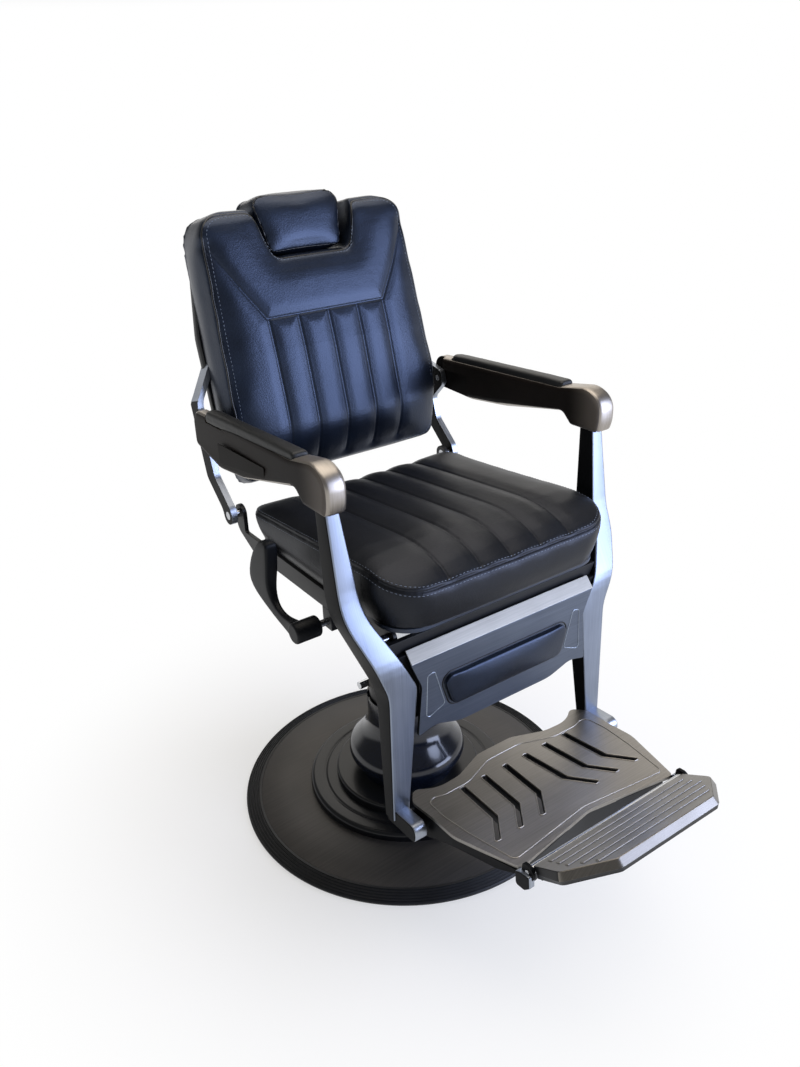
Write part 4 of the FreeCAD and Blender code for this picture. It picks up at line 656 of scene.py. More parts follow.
def arm_warp(sign):
    """Taper the arm to its rear and raise its inner lower edge."""
    def warp(ring):
        x, y, z = np.abs(ring[:, 0]), ring[:, 1], ring[:, 2]
        across = (x - ARM_INNER) / (ARM_OUTER - ARM_INNER)
        wide = np.interp(y, [110, 226], [1.0, 0.75])
        lift = np.interp(y, [-150, -105, 150, 226], [0, 14, 14, 6]) * (1 - across) * (z < 797)
        return np.column_stack([sign * (ARM_INNER + (x - ARM_INNER) * wide), y, z + lift])
    return warp


def arm_box(name, sign, x, y, z):
    low, high = sorted((sign * x[0], sign * x[1]))
    return slab(name, [(low, y[0]), (high, y[0]), (high, y[1]), (low, y[1])], z[0], z[1])


def pad_outline(inset):
    """The pad's outline in plan, in (x, y), drawn in by an inset."""
    low, high = 256.2 + inset, 286.8 - inset
    front, rear = PAD_FRONT + inset, PAD_REAR - inset
    return rounded([(low, front, 5), (high, front, 5), (high - 3, rear, 12), (low, rear, 12)])


def circle(y, z, radius, count):
    """Points round a circle in the side view."""
    turn = np.linspace(0, 2 * math.pi, count + 1)[:-1]
    return np.array([(y + radius * math.cos(a), z + radius * math.sin(a)) for a in turn])


for side, sign in SIDES:
    arm = pillow(f"arm_{side}_cast", arm_profile, sign * ARM_INNER, sign * ARM_OUTER, ARM_ROUND,
                 arm_warp(sign))
    bed_rings = [[(sign * x, y, pad_bed(y)) for x, y in pad_outline(-PAD_ROOM)],
                 [(sign * x, y, 900) for x, y in pad_outline(-PAD_ROOM)]]
    hole_rings = [[(x, *point) for point in circle(*LINK_HOLE, 32)] for x in sorted((sign * 245, sign * 276))]
    carve(arm,
          arm_box("cavity", sign, (256, 287), (-236, -180), (770, 838)),
          arm_box("low_slot", sign, (245, 262.3), (112, 240), (700, 806.6)),
          arm_box("high_slot", sign, (245, 262.3), (190, 240), (780, 850)),
          loft("link_hole", hole_rings), loft("pad_bed", bed_rings))
    shade(arm, 32)
    # The arm's flanks take painted shade, paler towards the knuckle as a painted highlight.
    face_and_shaded_flank(arm, f"{side}_arm", "bronze_cast", bronze_arm, arm_flank_shade, f"arm_{side}", limit=0.8)
    plate_line = rounded([(108, 764, 3), (108, 800, 3), (-58, 806, 3), (-58, 788, 3)])
    plate = pillow(f"arm_plate_{side}", plate_line, sign * (ARM_OUTER - 1), sign * (ARM_OUTER + 0.2), 0.2)
    dress(plate, f"{side}_arm", "bronze_cast", plate_black)
print("arms cast")

# %% [markdown]
# ## Sheet metal and bars
# The front panel, its bright top strip and the back's bars are right as solids, and gain rounded edges
# here. The bars' tops are tucked in behind the back. The panel also has a pressed line on each side of its
# pad, a thin raised bead in a long triangle, made as a tube half sunk in the sheet, and a dark sheet on each
# side, painted shade, closes the gap to the legs.

# %% Panel, strip and bars
def tube(name, points, radius):
    """A round bead along a closed line in millimetres, as a plain mesh."""
    path = bpy.data.curves.new(name, "CURVE")
    path.dimensions = "3D"
    path.bevel_depth = radius * MM
    path.bevel_resolution = 3
    path.use_fill_caps = True
    spline = path.splines.new("POLY")
    spline.points.add(len(points) - 1)
    for point, where in zip(spline.points, points):
        point.co = (*(np.array(where, float) * MM), 1)
    spline.use_cyclic_u = True
    holder = stand(name + "_path", path)
    mesh = plain(holder)
    bpy.data.objects.remove(holder)
    mesh.name = name
    return shade(stand(name, mesh), 60)


def tilted(pivot, tilt):
    """A function that carries a point of a tilted part's own frame to the chair."""
    def carry(point):
        x, y, z = point
        return (x, pivot[1] + z * math.sin(tilt) + y * math.cos(tilt),
                pivot[2] + z * math.cos(tilt) - y * math.sin(tilt))
    return carry


BACK_PIVOT = np.array([0, 170, 634.0])
# A point of the leaning back is given as across, behind and up.
on_back = tilted(BACK_PIVOT, LEAN)


def in_back(points):
    """Chair points as across, behind and up in the back's own frame."""
    x, y, z = (np.asarray(points) - BACK_PIVOT).T
    return np.column_stack([x, y * math.cos(LEAN) - z * math.sin(LEAN),
                            y * math.sin(LEAN) + z * math.cos(LEAN)])


def out_of_back(points):
    return np.array([on_back(p) for p in points])


panel = bevel(joined_copy("front_panel", "front_panel_pressed"), 1.2)
# The panel's flanks take near-black painted shade.
face_and_shaded_flank(panel, "leg_frame", "leg_cast", panel_metal, painted_flank_shade, "front_panel", limit=0.5)
softened("panel_strip", "panel_strip_bright", "leg_frame", "strip_silver", bright_strip, 0.7)
# A dark sheet on each side closes the gap to the legs: painted shade.
gap_side = rounded([(-282, 420, 2), (-282, 545, 2), (-292, 545, 2), (-292, 420, 2)])
gap_shades = [pillow(f"panel_gap_shade_{side}", gap_side, sign * 172, sign * 214, 1) for side, sign in SIDES]
dress(joined("panel_gap_shades", gap_shades), "leg_frame", "leg_cast", painted_flank_shade)
bars = bevel(joined_copy("back_bars", "back_bars_flat"), 1.6)
bar_points = coordinates(bars)
BAR_TUCK, TUCK_FROM, TUCK_OVER = 24, 205, 60
tuck_in = BAR_TUCK * np.clip((in_back(bar_points)[:, 2] - TUCK_FROM) / TUCK_OVER, 0, 1)
bar_points[:, 0] -= np.sign(bar_points[:, 0]) * tuck_in
move_to(bars, bar_points)
# The bars' flanks take near-black painted shade.
face_and_shaded_flank(bars, "back", "leg_cast", gunmetal_edge, painted_flank_shade, "back_bars", limit=0.9)

beads = []
for side, sign in SIDES:
    outline = rounded([(sign * 151, 503, 5), (sign * 165, 499, 5), (sign * 169, 418, 6), (sign * 131, 434, 6)])
    beads.append(tube(f"panel_bead_{side}", [(x, -303.9, z) for x, z in outline], 0.9))
dress(joined("panel_beads", beads), "leg_frame", "leg_cast", panel_bead)
bezel_line = rounded([(122, 424, 19), (143, 490, 19), (-143, 490, 19), (-122, 424, 19)])
bezel = tube("calf_pad_bezel", [(x, -304.0, z) for x, z in bezel_line], 1.3)
dress(bezel, "leg_frame", "frame_paint", satin_paint)
print("panel, strip and bars done")

# %% [markdown]
# ## The recline lever
# The lever is moulded: a broad paddle for the hand at the rear, a slim curved limb, and a boss on the
# shaft. A row of rounded sections along its curve gives the change from broad to slim in one skin.

# %% Mould the lever
# Each station is the front edge and the rear edge in the side view (y, z), and the span in x.
LEVER_STATIONS = (
    ((-56, 676), (-36, 679), -302, -281), ((-59, 668), (-14, 655), -303, -280),
    ((-57, 650), (1, 632), -303.5, -280), ((-54, 628), (13, 604), -303.5, -280),
    ((-48, 605), (15, 584), -303, -280.5), ((-46, 585), (2, 566), -301, -282),
    ((-52, 570), (-24, 552), -299, -284), ((-64, 560), (-52, 540), -298, -286),
    ((-84, 555), (-82, 533), -298, -286), ((-104, 556), (-106, 529), -299, -284),
    ((-118, 559), (-126, 527), -301, -282), ((-133, 559), (-141, 531), -301, -282))
lever_rings = []
for front, rear, outer, inner in LEVER_STATIONS:
    front, rear = np.array(front, float), np.array(rear, float)
    deep = np.linalg.norm(rear - front)
    section = ring_of([(0, outer), (deep, outer), (deep, inner), (0, inner)], 5)
    lever_rings.append([(x, *(front + (rear - front) * d / deep)) for d, x in section])
lever = loft("lever_handle_moulded", lever_rings)
shade(finer(lever), 50)
boss = pillow("lever_boss", circle(-128, 543, 18, 40), -303, -256, 4)
dress(joined("lever_handle_grip", [lever, boss]), "lever", "lever_plastic", moulded, "lever_handle")
print("lever moulded")

# %% [markdown]
# ## The footrest
# The tread is a cast plate on two flanges, tilted a little. Its rear edge waves back in the middle, six
# kinked slots let hair fall through, and a thin raised line runs round inside the edge. The outline is
# drawn flat in the tread's own frame and then carried to the toe pins.

# %% Cast the footrest
TOE_PIN, TREAD_TILT = (0, -328, 234), math.radians(4.5)
on_tread = tilted(TOE_PIN, TREAD_TILT)


def both_halves(half):
    """A whole outline from its half on +X, listed from the rear middle to the front middle."""
    return half + [(-c[0], *c[1:]) for c in reversed(half)]


TREAD_TOP, TREAD_LOW = 34, 28
tread_half = [(38, 51, 40), (100, 25, 60), (150, 22, 60), (183, 46, 12), (203, 20, 20), (201, -30, 60),
              (203, -88, 60), (169, -208, 8), (3, -181, 3)]
tread = slab("footrest_tread", rounded(both_halves(tread_half)), TREAD_LOW, TREAD_TOP, on_tread)
SLOT_PITCH, SLOT_HALF, SHADE_WALL_LOW, SHADE_WALL_GAP = 47, 5.2, 17, 2.5
slot_lines = []
for sign in (-1, 1):
    for count in range(3):
        shift = SLOT_PITCH * count
        middle = [(23 + shift, -4), (30 + shift, -97), (62 + shift, -141)]
        outline = [(x - SLOT_HALF, y) for x, y in middle] + [(x + SLOT_HALF, y) for x, y in reversed(middle)]
        slot_lines.append(rounded([(sign * x, y, 2) for x, y in outline]))
carve(tread, *[slab("slot", line, TREAD_LOW - 10, TREAD_TOP + 10, on_tread) for line in slot_lines])
tread_finishes = [bronze_tread, tread_edge]
tread.data.materials.clear()
for material in tread_finishes:
    tread.data.materials.append(material)
# The tread's rounds take the pale edge tone: part wear, part painted highlight.
bevel(tread, 1.8, pale_rounds=True)
picks = [face.material_index for face in tread.data.polygons]
dress(tread, "footrest", "bronze_cast", tread_finishes, "footrest_plate", picks=picks)

LINE_HEIGHT = TREAD_TOP + 0.1
# Dark walls round each slot reach below the tread: painted shade, so that the slots look dark inside.
slot_shades, rims = [], []
for line in slot_lines:
    walls = [(inward(line, -SHADE_WALL_GAP), TREAD_LOW + 0.5), (inward(line, -SHADE_WALL_GAP), SHADE_WALL_LOW),
             (inward(line, 0.2), SHADE_WALL_LOW), (inward(line, 0.2), TREAD_TOP - 2)]
    slot_shades.append(loft("slot_shade_wall", [[on_tread((x, y, z)) for x, y in wall] for wall, z in walls], around=True))
    rims.append(tube("rim", [on_tread((x, y, LINE_HEIGHT)) for x, y in inward(line, -1.2)], 0.9))
dress(joined("footrest_slot_shade_walls", slot_shades), "footrest", "frame_paint", satin_paint)
dress(joined("footrest_slot_rims", rims), "footrest", "bronze_cast", tread_edge)

line_half = [(36, 26, 40), (98, 1, 50), (150, 0, 40), (182, 10, 14), (186, -40, 60), (180, -100, 60),
             (164, -190, 10), (4, -170, 4)]
contour = [on_tread((x, y, LINE_HEIGHT)) for x, y in rounded(both_halves(line_half))]
dress(tube("footrest_contour", contour, 1.0), "footrest", "bronze_cast", tread_edge)
ends = []
for side, sign in SIDES:
    end_side = rounded([(-205, 8, 6), (-205, 33, 4), (-218, 38, 8), (-236, 39, 4), (-236, 18, 5), (-224, 8, 8)])
    end = pillow(f"flange_end_{side}", end_side, sign * 167.4, sign * 179, 2.0)
    move_to(end, [on_tread(p) for p in coordinates(end)])
    ends.append(end)
# The flange ends' flanks take near-black painted shade.
face_and_shaded_flank(joined("flange_ends", ends), "footrest", "bronze_cast", gunmetal_edge, painted_flank_shade)
skirt_line = np.array([(-148, -205), (-80, -194.5), (0, -178.5), (80, -194.5), (148, -205)], float)
skirt_wall = np.vstack([skirt_line, skirt_line[::-1] + (0, 4)])
dress(slab("footrest_skirt", skirt_wall, -12, TREAD_LOW + 1, on_tread), "footrest", "frame_paint", satin_paint)
# The flanges are near-black painted shade all over.
softened("footrest_flanges", "footrest_flanges_cast", "footrest", "frame_paint", painted_flank_shade, 1.6)
print("footrest cast")

# %% [markdown]
# ## The flip plate
# The front of the footrest flips over for a tall sitter. It is a thin casting with a broad bright bevel
# along its front and five long ribs for grip. The ribs repeat with a rule, so Geometry Nodes lays them
# out: a row of points, one rib on each, shorter towards the nose.

# %% Cast the flip plate and lay out its ribs
EAR_PIN, FLIP_TILT = (0, -551, 293), math.radians(30)
on_flip = tilted(EAR_PIN, FLIP_TILT)


def flip_outline(grow):
    """The plate's outline, let out at the front only, because ears stand close to its sides."""
    line = rounded(both_halves([(165, -7, 2), (165, -66, 16), (103, -124, 8)]))
    front = np.clip((-35 - line[:, 1]) / 30, 0, 1)[:, None]
    return line + (inward(line, -grow) - line) * (front if grow > 0 else 1.0)


flip_rings = []
for grow, height in ((-8, -16), (1, -13), (4, -7), (5, -6), (0.6, 6.2), (-0.6, 7)):
    flip_rings.append([on_flip((x, y, height)) for x, y in flip_outline(grow)])
flip = loft("flip_plate_cast", flip_rings, crease=20)
flip_up = Vector(on_flip((0, 0, 1))) - Vector(EAR_PIN)
flip_back = Vector(on_flip((0, 1, 0))) - Vector(EAR_PIN)
picks = []
for face in flip.data.polygons:
    height = (face.center / MM - Vector(EAR_PIN)) @ flip_up
    if face.normal @ flip_up > 0.985:
        picks.append(0)
    else:
        picks.append(1 if height > -5.5 and face.normal @ flip_back < -0.2 else 2)
dress(flip, "flip", "bronze_cast", [bronze_tread, flip_edge, satin_paint], "flip_plate", picks=picks)


def node_tool(name, piece, values, build):
    """Build a node tree with named inputs, run it on a piece, and keep the plain mesh."""
    tree = bpy.data.node_groups.new(name, "GeometryNodeTree")
    for way in ("INPUT", "OUTPUT"):
        tree.interface.new_socket("Geometry", in_out=way, socket_type="NodeSocketGeometry")
    tool = piece.modifiers.new(name, "NODES")
    for label, value in values.items():
        kind = "NodeSocketInt" if isinstance(value, int) else "NodeSocketFloat"
        tree.interface.new_socket(label, in_out="INPUT", socket_type=kind).default_value = value
    add(tree, "NodeGroupOutput", {"Geometry": build(tree, add(tree, "NodeGroupInput").outputs)})
    tool.node_group = tree
    return settle(piece)


RIB = {"Count": 5, "Pitch": 19 * MM, "Length": 292 * MM, "Shorter": 26 * MM, "Width": 8 * MM, "Height": 3 * MM}
XYZ = "ShaderNodeCombineXYZ"


def placed(tree, material, **links):
    """Instances on points made real, with their material set: how every layout here ends."""
    row = add(tree, "GeometryNodeInstanceOnPoints", links)
    whole = add(tree, "GeometryNodeRealizeInstances", {"Geometry": row})
    return add(tree, "GeometryNodeSetMaterial", {"Material": material, "Geometry": whole})


def rib_row(tree, give):
    """Points in a row along -Y, with a bar on each that gets shorter after the third."""
    back = add(tree, MATH, {"operation": "MULTIPLY", 0: give["Pitch"], 1: -1.0})
    row = add(tree, "GeometryNodeMeshLine", {"Count": give["Count"], "Offset": add(tree, XYZ, {"Y": back})})
    size = add(tree, XYZ, {"X": 1.0, "Y": give["Width"], "Z": give["Height"]})
    bar = add(tree, "GeometryNodeMeshCube", {"Size": size})
    late = add(tree, MATH, {"operation": "SUBTRACT", 0: add(tree, "GeometryNodeInputIndex"), 1: 2.0})
    late = add(tree, MATH, {"operation": "MAXIMUM", 0: late, 1: 0.0})
    loss = add(tree, MATH, {"operation": "MULTIPLY", 0: late, 1: give["Shorter"]})
    long = add(tree, MATH, {"operation": "SUBTRACT", 0: give["Length"], 1: loss})
    return placed(tree, tread_edge, Points=row, Instance=bar,
                  Scale=add(tree, XYZ, {"X": long, "Y": 1.0, "Z": 1.0}))


ribs = skin("flip_ribs_laid", [(0, 0, 0), (1, 0, 0), (0, 1, 0)], [(0, 1, 2)])
node_tool("rib_row", ribs, RIB, rib_row)
for point in ribs.data.vertices:
    x, y, z = point.co / MM
    point.co = Vector(on_flip((x, y - 23, z + 7.3))) * MM
bevel(ribs, 1.4, 3)
dress(ribs, "flip", "bronze_cast", [bronze_tread], "flip_ribs")
print("flip plate cast, rib faces:", len(ribs.data.polygons))

# %% [markdown]
# ## Cushions
# A cushion is foam pulled tight in a sewn cover. The solids give the size, and Blender's cloth gives the
# swell: the form is remeshed into small even faces, drawn in a little, and blown up by a gentle pressure
# while the face that rests on the frame is held. Movement is capped so that the size stays true. Seams
# and sewn channels come afterwards, because the remesh would wash them out.

# %% Cushion tools
def normals(piece):
    ways = np.empty(len(piece.data.vertices) * 3)
    piece.data.vertices.foreach_get("normal", ways)
    return ways.reshape(-1, 3)


def evened(piece, values, rounds, hold=None):
    """Values at a mesh's points, each drawn towards the middle of its neighbours' values."""
    edges = np.empty(len(piece.data.edges) * 2, int)
    piece.data.edges.foreach_get("vertices", edges)
    first, second = edges.reshape(-1, 2).T
    degree = np.bincount(edges, minlength=len(values))[:, None]
    for _ in range(rounds):
        total = np.zeros_like(values)
        np.add.at(total, first, values[second])
        np.add.at(total, second, values[first])
        eased = 0.5 * values + 0.5 * total / degree
        values = eased if hold is None else np.where(hold[:, None], values, eased)
    return values


def relax(piece, rounds, hold=None):
    move_to(piece, evened(piece, coordinates(piece), rounds, hold))


TAUT_ROUNDS, SWELL_FRAMES, PRESSURE = 40, 20, 4.0


def swell(piece, held, cap):
    """Blow a cover up with cloth pressure, holding some points and capping every move."""
    before = coordinates(piece)
    grip = piece.vertex_groups.new(name="held")
    grip.add([int(i) for i in np.flatnonzero(held)], 1.0, "REPLACE")
    cloth = piece.modifiers.new("cover", "CLOTH")
    cloth.settings.vertex_group_mass = "held"
    cloth.settings.use_pressure = True
    cloth.settings.uniform_pressure_force = PRESSURE
    cloth.settings.effector_weights.gravity = 0.0
    cloth.point_cache.frame_start = 1
    cloth.point_cache.frame_end = SWELL_FRAMES
    for frame_number in range(1, SWELL_FRAMES + 1):
        bpy.context.scene.frame_set(frame_number)
    settle(piece)
    bpy.context.scene.frame_set(1)
    step_taken = coordinates(piece) - before
    size = np.linalg.norm(step_taken, axis=1)[:, None]
    step_taken *= np.minimum(1, cap / np.maximum(size, 1e-6))
    move_to(piece, before + evened(piece, step_taken, TAUT_ROUNDS))
    return float(size.max())


def cushion(name, piece, voxel, held_at, draw_in, cap, shape=None, ease=3, lean=False):
    """A closed form remeshed, shaped, swollen and made smooth. held_at says which points rest on something."""
    into, out_of = (in_back, out_of_back) if lean else (np.asarray, np.asarray)
    piece.name = name
    grid = piece.modifiers.new("grid", "REMESH")
    grid.mode = "VOXEL"
    grid.voxel_size = voxel * MM
    settle(piece)
    relax(piece, ease)
    points = coordinates(piece)
    if shape:
        points = shape(points)
        move_to(piece, points)
    held = held_at(points)
    reach = 0.0
    move_to(piece, points - normals(piece) * np.where(held, 0, draw_in)[:, None])
    reach = swell(piece, held, cap)
    relax(piece, 2, held)
    # The swell and the smoothing change the size a little, so it is put back along each axis.
    sewn, swollen = into(points), into(coordinates(piece))
    low, high = sewn.min(0), sewn.max(0)
    swollen_low, swollen_high = swollen.min(0), swollen.max(0)
    move_to(piece, out_of(low + (swollen - swollen_low) * (high - low) / (swollen_high - swollen_low)))
    finer(piece)
    print(name, "points", len(piece.data.vertices), "swell mm", round(reach, 1))
    return shade(piece, 180)


def onto(piece, line):
    """A polyline in millimetres laid on the nearest places of a piece's surface."""
    tree = BVHTree.FromPolygons([v.co for v in piece.data.vertices], [p.vertices for p in piece.data.polygons])
    return np.array([np.array(tree.find_nearest(Vector(p) * MM)[0]) / MM for p in line])


def evenly(line, gap, closed=False):
    """A polyline resampled at an even gap."""
    line = np.asarray(line, float)
    if closed:
        line = closed_up(line)
    length = np.concatenate([[0], np.cumsum(np.linalg.norm(np.diff(line, axis=0), axis=1))])
    count = max(3, int(round(length[-1] / gap)))
    where = np.linspace(0, length[-1], count + 1)
    if closed:
        where = where[:-1]
    return np.column_stack([np.interp(where, length, line[:, k]) for k in range(3)])


SMOOTH_ROUNDS = 6


def smoothed(line):
    """A closed line with its small wobbles taken out."""
    for _ in range(SMOOTH_ROUNDS):
        line = (np.roll(line, 1, 0) + 2 * line + np.roll(line, -1, 0)) / 4
    return line


def closed_up(line):
    return np.vstack([line, line[:1]])


def sew(piece, lines, grooves):
    """Press seams into a cover. Each groove is a depth and a width in millimetres."""
    line = np.vstack([evenly(points, 1.5) for points in lines])
    tree = KDTree(len(line))
    for i, point in enumerate(line):
        tree.insert(point, i)
    tree.balance()
    points = coordinates(piece)
    away = np.array([tree.find(p)[2] for p in points])
    depth = sum(d * np.exp(-(away / w) ** 2) for d, w in grooves)
    move_to(piece, points - normals(piece) * depth[:, None])


STITCH = {"Pitch": 7 * MM, "Length": 4.6 * MM, "Thickness": 1.1 * MM}


def stitch_row(tree, give):
    """One small lozenge of thread on each point of a path, turned along the path."""
    path = add(tree, "GeometryNodeMeshToCurve", {"Mesh": give["Geometry"]})
    spaced = add(tree, "GeometryNodeResampleCurve", {"mode": "LENGTH", "Curve": path, "Length": give["Pitch"]})
    turn = add(tree, "FunctionNodeAlignRotationToVector",
               {"axis": "X", "Vector": add(tree, "GeometryNodeInputTangent")})
    bead = add(tree, "GeometryNodeMeshUVSphere", {"Segments": 6, "Rings": 4, "Radius": 0.5})
    size = add(tree, XYZ, {"X": give["Length"], "Y": give["Thickness"], "Z": give["Thickness"]})
    return placed(tree, thread, Points=spaced, Instance=bead, Rotation=turn, Scale=size)


def stitches(name, lines, body):
    """Rows of stitches along closed lines in millimetres, as one piece."""
    points, edges = [], []
    for line in lines:
        line = evenly(line, 4, closed=True)
        start, count = len(points), len(line)
        points += [tuple(p * MM) for p in line]
        edges += [(start + i, start + (i + 1) % count) for i in range(count)]
    mesh = bpy.data.meshes.new(name)
    mesh.from_pydata(points, edges, [])
    piece = node_tool(name, stand(name, mesh), STITCH, stitch_row)
    return dress(shade(piece, 60), body, "leatherette", thread)


print("cushion tools ready")

# %% [markdown]
# ## The seat
# The seat is a thick boxed cushion: a top panel sewn in six channels, and a side band that tucks in
# towards the pan. The top falls away at the front over the sitter's knees. A double row of stitches runs
# beside the seam where the top meets the band.

# %% Sew the seat
SEAT_BOTTOM, BAND_BOTTOM = 602.3, 590
SEAT_HALF, SEAT_FRONT, SEAT_REAR = 234, -322, 150
seat_solid_line = rounded([(SEAT_FRONT, 650.3), (-230, 688.3, 90), (SEAT_REAR, 652.3)], False)
seat_top_line = rounded([(SEAT_FRONT, 666), (-236, 692, 260), (SEAT_REAR, 652)], False)
seat_plan = rounded([(SEAT_HALF, SEAT_FRONT, 72), (SEAT_HALF, SEAT_REAR, 40), (-SEAT_HALF, SEAT_REAR, 40),
                     (-SEAT_HALF, SEAT_FRONT, 72)])
SEAT_MIDDLE = (SEAT_FRONT + SEAT_REAR) / 2
SEAT_LONG = (SEAT_REAR - SEAT_FRONT) / 2


def seat_top(y):
    return along(seat_top_line, y, 0)


def seat_shape(points):
    """Ease the fall at the front, tuck the side band in towards the pan and crown the top."""
    x, y, z = points.T
    part = np.clip((z - SEAT_BOTTOM) / (along(seat_solid_line, y, 0) - SEAT_BOTTOM), 0, 1)
    z = BAND_BOTTOM + part * (seat_top(y) - BAND_BOTTOM)
    tuck = 1 - 0.07 * (1 - part) ** 1.8
    crown = 7 * (1 - np.clip(np.abs(x) / SEAT_HALF, 0, 1) ** 3)
    crown *= 1 - np.clip(np.abs(y - SEAT_MIDDLE) / SEAT_LONG, 0, 1) ** 4
    return np.column_stack([x * tuck, SEAT_MIDDLE + (y - SEAT_MIDDLE) * tuck, z + crown * part ** 3])


seat = cushion("seat_cushion_sewn", joined_copy("seat_cushion", "seat_form"), 4.2,
               lambda p: p[:, 2] < BAND_BOTTOM + 3, 3, 6, seat_shape, ease=2)
seam = evenly([(x, y, seat_top(y) - 5) for x, y in seat_plan], 4, closed=True)
seam = onto(seat, smoothed(onto(seat, seam)))
lanes = []
for x in (-125, -61, 0, 61, 125):
    lanes.append([(x, y, seat_top(y) + 14) for y in np.linspace(SEAT_FRONT + 2, SEAT_REAR - 4, 120)])
lanes = [onto(seat, lane) for lane in lanes]
sew(seat, lanes, ((2.2, 2.1), (3.8, 15)))
sew(seat, [closed_up(seam)], ((2.6, 2.6), (1.4, 9)))
dress(seat, "seat", "leatherette", seat_cover, "seat_cushion")

inner_row = [(x * 0.974, SEAT_MIDDLE + (y - SEAT_MIDDLE) * 0.974, z + 4) for x, y, z in seam]
outer_row = [(x * 0.999, SEAT_MIDDLE + (y - SEAT_MIDDLE) * 0.999, z - 7) for x, y, z in seam]
rows = [onto(seat, row) for row in (inner_row, outer_row)]
stitches("seat_stitches", rows, "seat")

pan_rings = []
for drawn, height in ((24, 583.3), (18, 583.6), (16, 585), (15.5, 592)):
    pan_rings.append([(x, y, height) for x, y in inward(seat_plan, drawn)])
dress(loft("seat_pan_moulded", pan_rings), "seat", "pan_grey", pan_finish, "seat_pan")
print("seat sewn")

# %% [markdown]
# ## The back
# The back's front panel has four sewn channels below a yoke, with a diagonal seam from each end of the
# yoke to the shoulder. A welt runs round the edge, and a side band joins the front to the shell behind.
# Its points are easiest to think of in the back's own leaning frame: across, behind, and up.

# %% Sew the back
BACK_FRONT, BACK_REAR = -51, 44
back_half = [(212, 42, 30), (222, 174, 200), (216, 330, 200), (208, 528, 50), (107, 528, 14), (79, 434, 14)]
back_face = rounded(both_halves(back_half))


def back_front(s, corner=174):
    """How far forward the front face stands at a height up the back. It falls away below the corner."""
    return along(rounded([(-6, 42), (BACK_FRONT, corner, 90), (BACK_FRONT, 518)], False), s, 1)


BACK_TOP, BACK_CORNER, FULL_CORNER = 528, 52, 125


def notch_half(s):
    """Half the width of the notch for the headrest, easing to nothing below it."""
    return np.interp(s, [380, 432, 518], [0, 79, 105])


def back_shape(points):
    """Round the shoulders, crown the front, fill the small of the back and let the edges fall back."""
    x, p, s = in_back(points).T
    part = np.clip((BACK_REAR - p) / (BACK_REAR - back_front(s)), 0, 1)
    old_half = np.interp(s, [42, 174, 463, 518], [211, 221, 206, 190])
    taller = np.where(s > 400, 400 + (s - 400) * (BACK_TOP - 400) / 118, s)
    drop = np.clip(taller - (BACK_TOP - BACK_CORNER), 0, BACK_CORNER)
    new_half = np.interp(s, [42, 174, 330, 463, 518], [212, 222, 216, 209, 207])
    new_half = new_half - (BACK_CORNER - np.sqrt(BACK_CORNER ** 2 - drop ** 2))
    slot_half = notch_half(s)
    out = np.clip((np.abs(x) - slot_half) / (old_half - slot_half), 0, None)
    new_half = new_half + 7 * part
    wide = np.where(np.abs(x) > slot_half, slot_half + out * (new_half - slot_half), np.abs(x))
    crown = 13 * (1 - np.clip(np.abs(x) / 218, 0, 1) ** 2.4)
    crown *= np.clip(1 - np.abs(s - 270) / 262, 0, 1) ** 0.6
    small = (back_front(s) - back_front(s, FULL_CORNER)) * (1 - np.clip(np.abs(x) / 225, 0, 1) ** 6)
    return out_of_back(np.column_stack([np.sign(x) * wide, p - (crown + small) * part ** 3, taller]))


back = cushion("back_cushion_sewn", joined_copy("back_cushion", "back_form"), 4.2,
               lambda p: in_back(p)[:, 1] > BACK_REAR - 3, 3, 6, back_shape, ease=2, lean=True)
YOKE = 327
back_lines = []
for x in (-123, -63, 0, 63, 123):
    back_lines.append([on_back((x, back_front(s) - 18, s)) for s in np.linspace(YOKE, 56, 90)])
back_lines.append([on_back((x, BACK_FRONT - 18, YOKE + 2)) for x in np.linspace(-123, 123, 80)])
for sign in (-1, 1):
    back_lines.append([on_back((sign * x, BACK_FRONT - 12, s))
                       for x, s in zip(np.linspace(123, 211, 60), np.linspace(YOKE, 463, 60))])
back_lines = [onto(back, line) for line in back_lines]
sew(back, back_lines, ((1.9, 2.1), (3.0, 13)))
back_seam = [on_back((x, back_front(s) + 8, s)) for x, s in back_face]
back_seam = onto(back, smoothed(onto(back, evenly(back_seam, 4, closed=True))))
sew(back, [closed_up(back_seam)], ((2.6, 3.2), (1.5, 10)))
dress(back, "back", "leatherette", blue_sheen_cover, "back_cushion")

welt = tube("back_welt", smoothed(evenly(onto(back, back_seam), 5, closed=True)), 2.2)
dress(welt, "back", "leatherette", trim_cover)
row = onto(back, [on_back((x * 0.962, back_front(s) - 4, (s - 270) * 0.975 + 270)) for x, s in back_face])
stitches("back_stitches", [row], "back")

shell_half = [(214, 56, 36), (226, 180, 200), (225, 320, 120), (206, 440, 120), (196, 522, 52), (112, 522, 14),
              (84, 428, 14)]
shell_face = rounded(both_halves(shell_half))
shell_rings = []
for drawn, depth in ((3, 33), (0.8, 36), (0, 40), (0, 48), (1.5, 51), (5, 54), (8, 54.5)):
    shell_rings.append([on_back((x, depth, s)) for x, s in inward(shell_face, drawn)])
dress(loft("back_shell", shell_rings), "back", "board_ply", shell_cover, "back_board")
print("back sewn")

# %% [markdown]
# ## Headrest, calf pad and arm pads
# These smaller pads are made the same way, with smaller faces and less swell. The headrest sits in a
# notch of the back and has a seam round its front.

